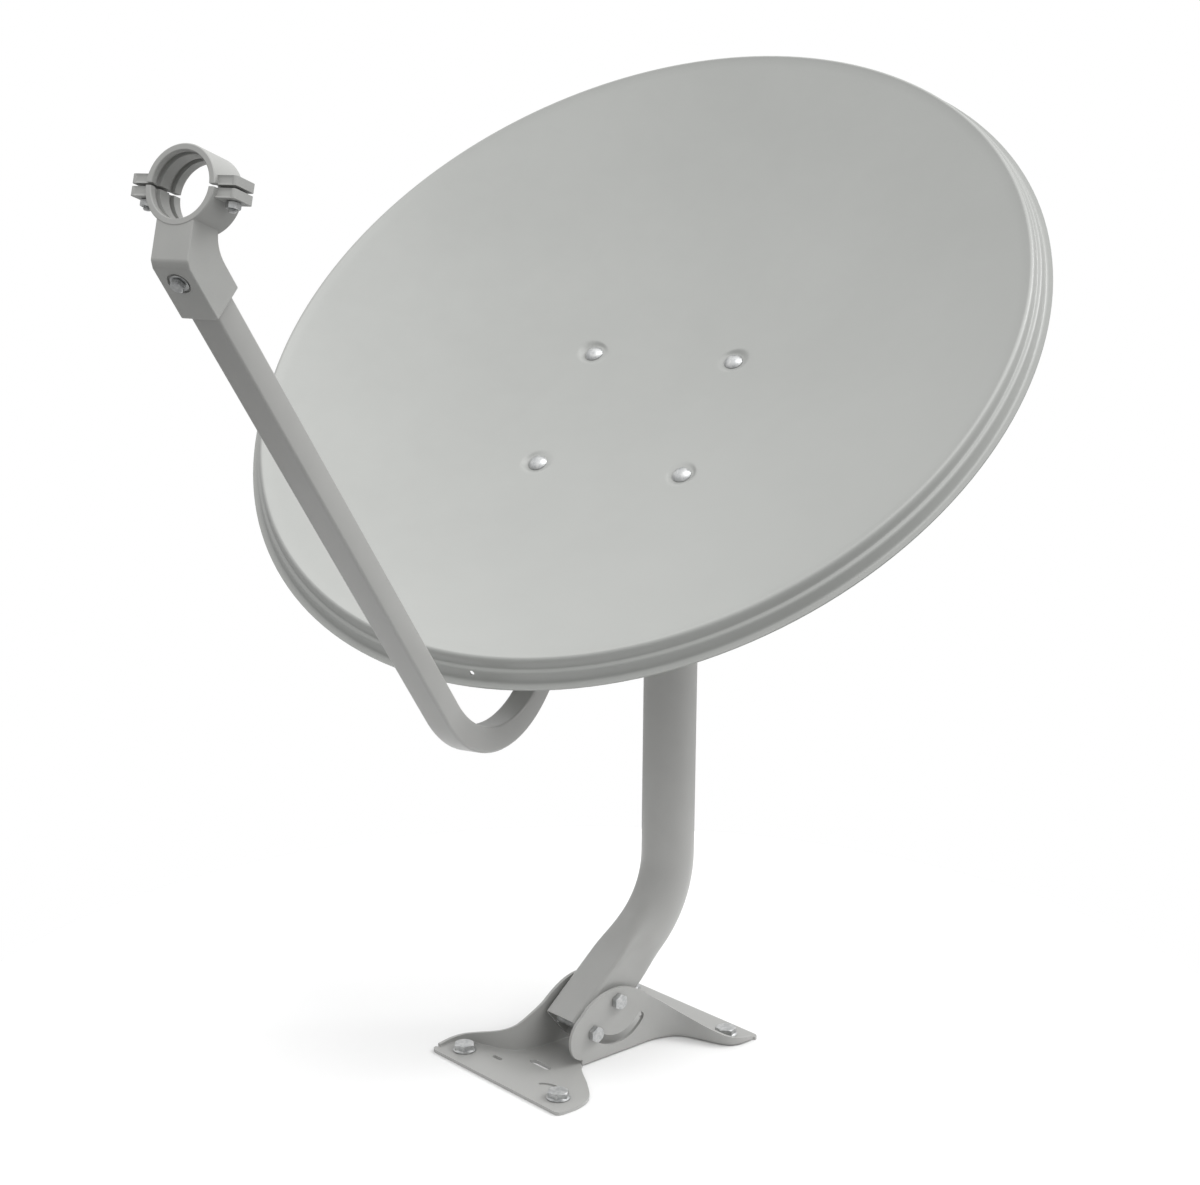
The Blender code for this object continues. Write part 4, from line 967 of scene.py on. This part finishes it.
def hex_bolt(name, size, length, flange=0.0):
    """A bolt whose head sits below z = 0 and whose shank runs up from there."""
    r, half, head, _, pitch = size
    piece = settle(hex_block(name, half, 0.3 * MM, head, False), turn_x(180))
    if flange:
        seat, steps = [
            (0, -0.01 * MM), (flange - 0.3 * MM, 0), (flange, -0.35 * MM), (flange, -0.7 * MM),
            (0.9 * flange, -1.3 * MM), (0.93 * half, -2.3 * MM), (0, -2.3 * MM),
        ], 50
    else:
        seat, steps = [(0, 0), (0.95 * half, 0), (0.95 * half, -0.6 * MM), (0, -0.6 * MM)], 48
    unite(piece, lathe("seat", seat, steps))
    plain = (0.35 if length > 12 * MM else 0.2) * length
    profile = [(0, -0.2 * MM), (r, -0.2 * MM), (r, plain)] + thread(r, plain, length - 0.8 * MM, pitch)
    unite(piece, lathe("shank", profile + [(r - 0.7 * MM, length), (0, length)], 28))
    return soften(piece, angle=METAL_EDGE)


def hex_nut(name, size):
    """A nut whose bearing face is at z = 0."""
    r, half, _, high, _ = size
    piece = hex_block(name, half, 0, high, True)
    wide, tight = r + 0.7 * MM, r + 0.25 * MM
    bore = [(0, -MM), (wide, -MM), (wide, 0), (tight, 0.6 * MM), (tight, high - 0.6 * MM), (wide, high)]
    cut(piece, lathe("bore", bore + [(wide, high + MM), (0, high + MM)], 28))
    return soften(piece, angle=METAL_EDGE)


def fasten(model, name, matrix, body, node):
    """A zinc copy of a fastener in its place."""
    return fit(settle(copy_of(model, name), matrix), body, ZINC, "zinc", node)


def bolt_through(bolt, nut, name, node, home, half, spot, body):
    """A bolt from the right through a width, and its nut on the left."""
    for model, kind, x in ((bolt, "bolt", half), (nut, "nut", -half)):
        at = home @ along((x, *spot), (-1, 0, 0))
        fasten(model, name.format(kind), at, body, node.format(kind))


def make_joint_bolts(nut):
    """Pivot and lock of the elevation, then of the mast's tilt."""
    lock = (PIVOT_Y + LOCK_RADIUS * math.cos(LOCK_ANGLE), PIVOT_Z + LOCK_RADIUS * math.sin(LOCK_ANGLE))
    bolt = hex_bolt("elevation_m8", M8, 2 * PIVOT_OUT + M8[3] + BOLT_PAST_NUT)
    for name, spot in (("elevation_pivot", (PIVOT_Y, PIVOT_Z)), ("elevation_lock", lock)):
        bolt_through(bolt, nut, name + "_hex_{}", name + "_{}", AZIMUTH, PIVOT_OUT, spot, "pole_mount")
    discard(bolt)

    half = EAR_OUT + CLEAR
    lock = (-TILT_LOCK * math.cos(MAST_LEAN), -TILT_LOCK * math.sin(MAST_LEAN))
    bolt = hex_bolt("tilt_m8", M8, 2 * half + M8[3] + BOLT_PAST_NUT)
    for name, spot, body in (("tilt_pivot", (0, 0), "foot"), ("tilt_lock", lock, "mast")):
        bolt_through(bolt, nut, name + "_hex_{}", name + "_{}", TILT, half, spot, body)
    discard(bolt)


def make_u_nuts(nut):
    for level, z in U_BOLT_HEIGHTS.items():
        for side, x in (("right", U_BOLT_X), ("left", -U_BOLT_X)):
            at = AZIMUTH @ along((x, WEB_FRONT - CLEAR, z), (0, -1, 0), 30)
            fasten(nut, f"u_bolt_nut_{level}_{side}", at, "pole_mount", f"u_nut_{level}_{side}")


def make_anchors():
    bolt = hex_bolt("flanged_m10", M10, FOOT_SHEET, ANCHOR_FLANGE)
    corners = [(sx * ANCHOR_X, sy * ANCHOR_Y) for sy in (-1, 1) for sx in (-1, 1)]
    for number, (x, y) in enumerate(corners, 1):
        at = FOOT @ along((x, y, FOOT_SHEET + CLEAR), (0, 0, -1), 11 * number)
        fasten(bolt, f"flanged_anchor_{number}", at, "foot", f"anchor_bolt_{number}")
    discard(bolt)


def make_arm_bolts(nut):
    half = ARM_BOLT_OUT + CLEAR
    bolt = hex_bolt("arm_m6", M6, 2 * half + M6[3] + BOLT_PAST_NUT)
    for level, z in ARM_BOLT_HEIGHTS.items():
        spot = (-ARM_BACK, z)
        bolt_through(bolt, nut, f"arm_hex_{{}}_{level}", f"arm_{{}}_{level}", DISH, half, spot, "dish")
    discard(bolt)


def make_coach_bolts(nut):
    r, pitch, plain = M6[0], M6[4], 2 * MM
    behind = REFLECTOR_SHEET + CRADLE_SHEET + 2 * CLEAR
    length = behind + CLEAR + M6[3] + SCREW_PAST_NUT
    profile = in_mm(COACH_HEAD) + [(r, 0), (r, plain)] + thread(r, plain, length - 0.8 * MM, pitch)
    bolt = soften(lathe("coach_m6", profile + [(r - 0.7 * MM, length), (0, length)], 40), angle=METAL_EDGE)
    for number, (x, z) in enumerate(FACE_SPOTS, 1):
        y = well_floor(x, z - RIM_UP) - RIM_FORWARD
        at = DISH @ along((x, y - CLEAR, z), (0, 1, 0))
        fasten(bolt, f"coach_bolt_{number}", at, "dish", f"face_bolt_{number}")
        at = DISH @ along((x, y + behind, z), (0, 1, 0))
        fasten(nut, f"coach_bolt_nut_{number}", at, "dish", f"face_nut_{number}")
    discard(bolt)


def make_clamp_screws():
    length = 2 * (SPLIT + CLAMP_EAR) + CLEAR + M5[3] + SCREW_PAST_NUT
    profile = in_mm(SUNK_HEAD)
    profile += [(r, -z) for r, z in thread(M5[0], 2.6 * MM, length - 0.7 * MM, M5[4])]
    screw = lathe("sunk_m5", profile + [(1.9 * MM, -length), (0, -length)], 32)
    for angle in (0, math.pi / 2):
        begin(
            bpy.ops.mesh.primitive_cube_add, "cross_recess", size=1, scale=(4.6 * MM, MM, 3.2 * MM),
            rotation=(0, 0, angle),
        )
        choose("FACE", lambda f: f.normal.z < -0.9)
        scale(0.55, 0.55)
        cut(screw, close())
    soften(screw, angle=METAL_EDGE)
    nut = hex_nut("m5_nut", M5)
    top = SPLIT + CLAMP_EAR
    for side, sign in (("right", 1), ("left", -1)):
        at = FEED @ shift(sign * SCREW_X, SCREW_Y, top)
        fasten(screw, f"clamp_sunk_screw_{side}", at, "dish", f"clamp_screw_{side}")
        at = FEED @ along((sign * SCREW_X, SCREW_Y, -top - CLEAR), (0, 0, -1))
        fasten(nut, f"clamp_hex_nut_{side}", at, "dish", f"clamp_nut_{side}")
    discard(screw)
    discard(nut)


def make_holder_screw():
    screw = hex_bolt("holder_m5", M5, HOLDER_SCREW)
    at = DISH @ along(SOCKET_FACE + SOCKET_DOWN * (WASHER + 2 * CLEAR), -SOCKET_DOWN)
    fasten(screw, "holder_hex_screw", at, "dish", "holder_screw")
    discard(screw)
    washer = soften(lathe("holder_flat_washer", in_mm(WASHER_RING)))
    settle(washer, DISH @ along(SOCKET_FACE + SOCKET_DOWN * CLEAR, SOCKET_DOWN))
    fit(washer, "dish", ZINC, "zinc", "holder_washer")


def make_fasteners():
    m8_nut, m6_nut = hex_nut("m8_nut", M8), hex_nut("m6_nut", M6)
    make_joint_bolts(m8_nut)
    make_u_nuts(m8_nut)
    make_anchors()
    make_arm_bolts(m6_nut)
    make_coach_bolts(m6_nut)
    make_clamp_screws()
    make_holder_screw()
    discard(m8_nut)
    discard(m6_nut)


def make_u_bolts():
    r, pitch, chamfer = M8[0], M8[4], 0.7 * MM
    middle = (U_BOLT_X, U_BOLT_END, 0)
    begin(
        bpy.ops.mesh.primitive_circle_add, "u_rod", vertices=24, radius=r - chamfer, fill_type="NGON",
        rotation=(math.pi / 2, 0, 0), location=middle,
    )
    pull(y=chamfer)
    scale(r / (r - chamfer), 1, r / (r - chamfer), middle)
    turns = int(U_BOLT_SCREWED / pitch)
    root = (r - 0.5 * pitch) / r
    for _ in range(turns):
        pull(y=0.4 * pitch)
        scale(root, 1, root, middle)
        pull(y=0.4 * pitch)
        scale(1 / root, 1, 1 / root, middle)
        pull(y=0.2 * pitch)
    pull(y=-U_BOLT_END - chamfer - turns * pitch)
    bpy.ops.mesh.spin(steps=14, angle=math.pi / 2, center=(0, 0, 0), axis=(0, 0, -1))
    bpy.ops.mesh.delete(type="ONLY_FACE")
    piece = close()
    apply(piece, "MIRROR", use_axis=(True, False, False), use_clip=True, merge_threshold=0.01 * MM)
    open_up(piece)
    tidy_skin()
    close()
    soften(piece, angle=40)
    for level, z in U_BOLT_HEIGHTS.items():
        twin = settle(copy_of(piece, f"u_rod_{level}"), AZIMUTH @ shift(0, 0, z))
        fit(twin, "pole_mount", ZINC, "zinc", f"u_bolt_{level}")
    discard(piece)


# Folded brackets behind the dish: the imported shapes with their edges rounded


def make_brackets():
    for node, name, body in (
        ("cradle", "folded_cradle", "dish"),
        ("pole_bracket", "folded_pole_bracket", "pole_mount"),
    ):
        piece = copy_of(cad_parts[node], name)
        piece.parent = None
        piece.matrix_world = Matrix.Identity(4)
        flatten(piece, 0.5, convex=True)
        even_shade(soften(piece, 0.5 * MM, 2, 34))
        fit(piece, body, FRAME_PAINT, "grey_paint", node)


make_reflector()
make_mast()
make_foot()
make_arm()
make_clamp()
make_fasteners()
make_u_bolts()
make_brackets()


# Floor, light and camera

FLOOR_RADIUS, FLOOR_DROP = 0.62, 0.05 * MM
SKY_HIGH, SKY_LOW = 1.36, 0.42
SKY_FROM, SKY_TO = -0.15, 0.9
# Name, direction towards the light, strength, and how wide it looks in degrees
LIGHTS = (
    ("soft_top_light", (0.45, -0.05, 0.89), 1.3, 50),
    ("soft_back_light", (0.58, 0.52, 0.63), 1.1, 25),
)
# The camera's own axes and place, as fitted to the photograph
RIGHT, UP, BACK = (0.89882, 0.43824, 0.00833), (-0.09943, 0.18534, 0.97763), (0.4269, -0.87954, 0.21016)
EYE = (0.7879, -1.6239, 0.8082)
LENS, SENSOR = 63.87, 36.0

bpy.ops.object.select_all(action="DESELECT")
bpy.ops.mesh.primitive_circle_add(
    vertices=128, radius=FLOOR_RADIUS, fill_type="NGON", location=(0, 0, -FLOOR_DROP)
)
floor = bpy.context.object
floor.name = "studio_floor"
floor.data.materials.append(FLOOR_WHITE)

scene = bpy.context.scene
scene.view_settings.view_transform = "Standard"

# A white room that lights more from above; the camera itself sees plain white
world = bpy.data.worlds.new("soft_room")
world.use_nodes = True
scene.world = world
room = Wire(world.node_tree)
seen = room.add("ShaderNodeLightPath", out=0)
sky = world.node_tree.nodes["Background"]
sky.inputs["Color"].default_value = (1, 1, 1, 1)
towards = room.add("ShaderNodeTexCoord")
height = room.add("ShaderNodeSeparateXYZ", None, {0: towards}, out=2)
glow = spread(room, height, SKY_FROM, SKY_TO) * (SKY_HIGH - SKY_LOW) + SKY_LOW
world.node_tree.links.new((seen * (1 - glow) + glow).socket, sky.inputs["Strength"])

for name, way, strength, width in LIGHTS:
    lamp = bpy.data.lights.new(name, "SUN")
    lamp.energy, lamp.angle = strength, math.radians(width)
    light = bpy.data.objects.new(name, lamp)
    scene.collection.objects.link(light)
    light.rotation_euler = (-Vector(way)).to_track_quat("-Z", "Y").to_euler()

lens = bpy.data.cameras.new("photo_camera")
lens.lens, lens.sensor_width = LENS, SENSOR
eye = bpy.data.objects.new("photo_camera", lens)
scene.collection.objects.link(eye)
eye.matrix_world = Matrix.Translation(EYE) @ Matrix((RIGHT, UP, BACK)).transposed().to_4x4()
scene.camera = eye
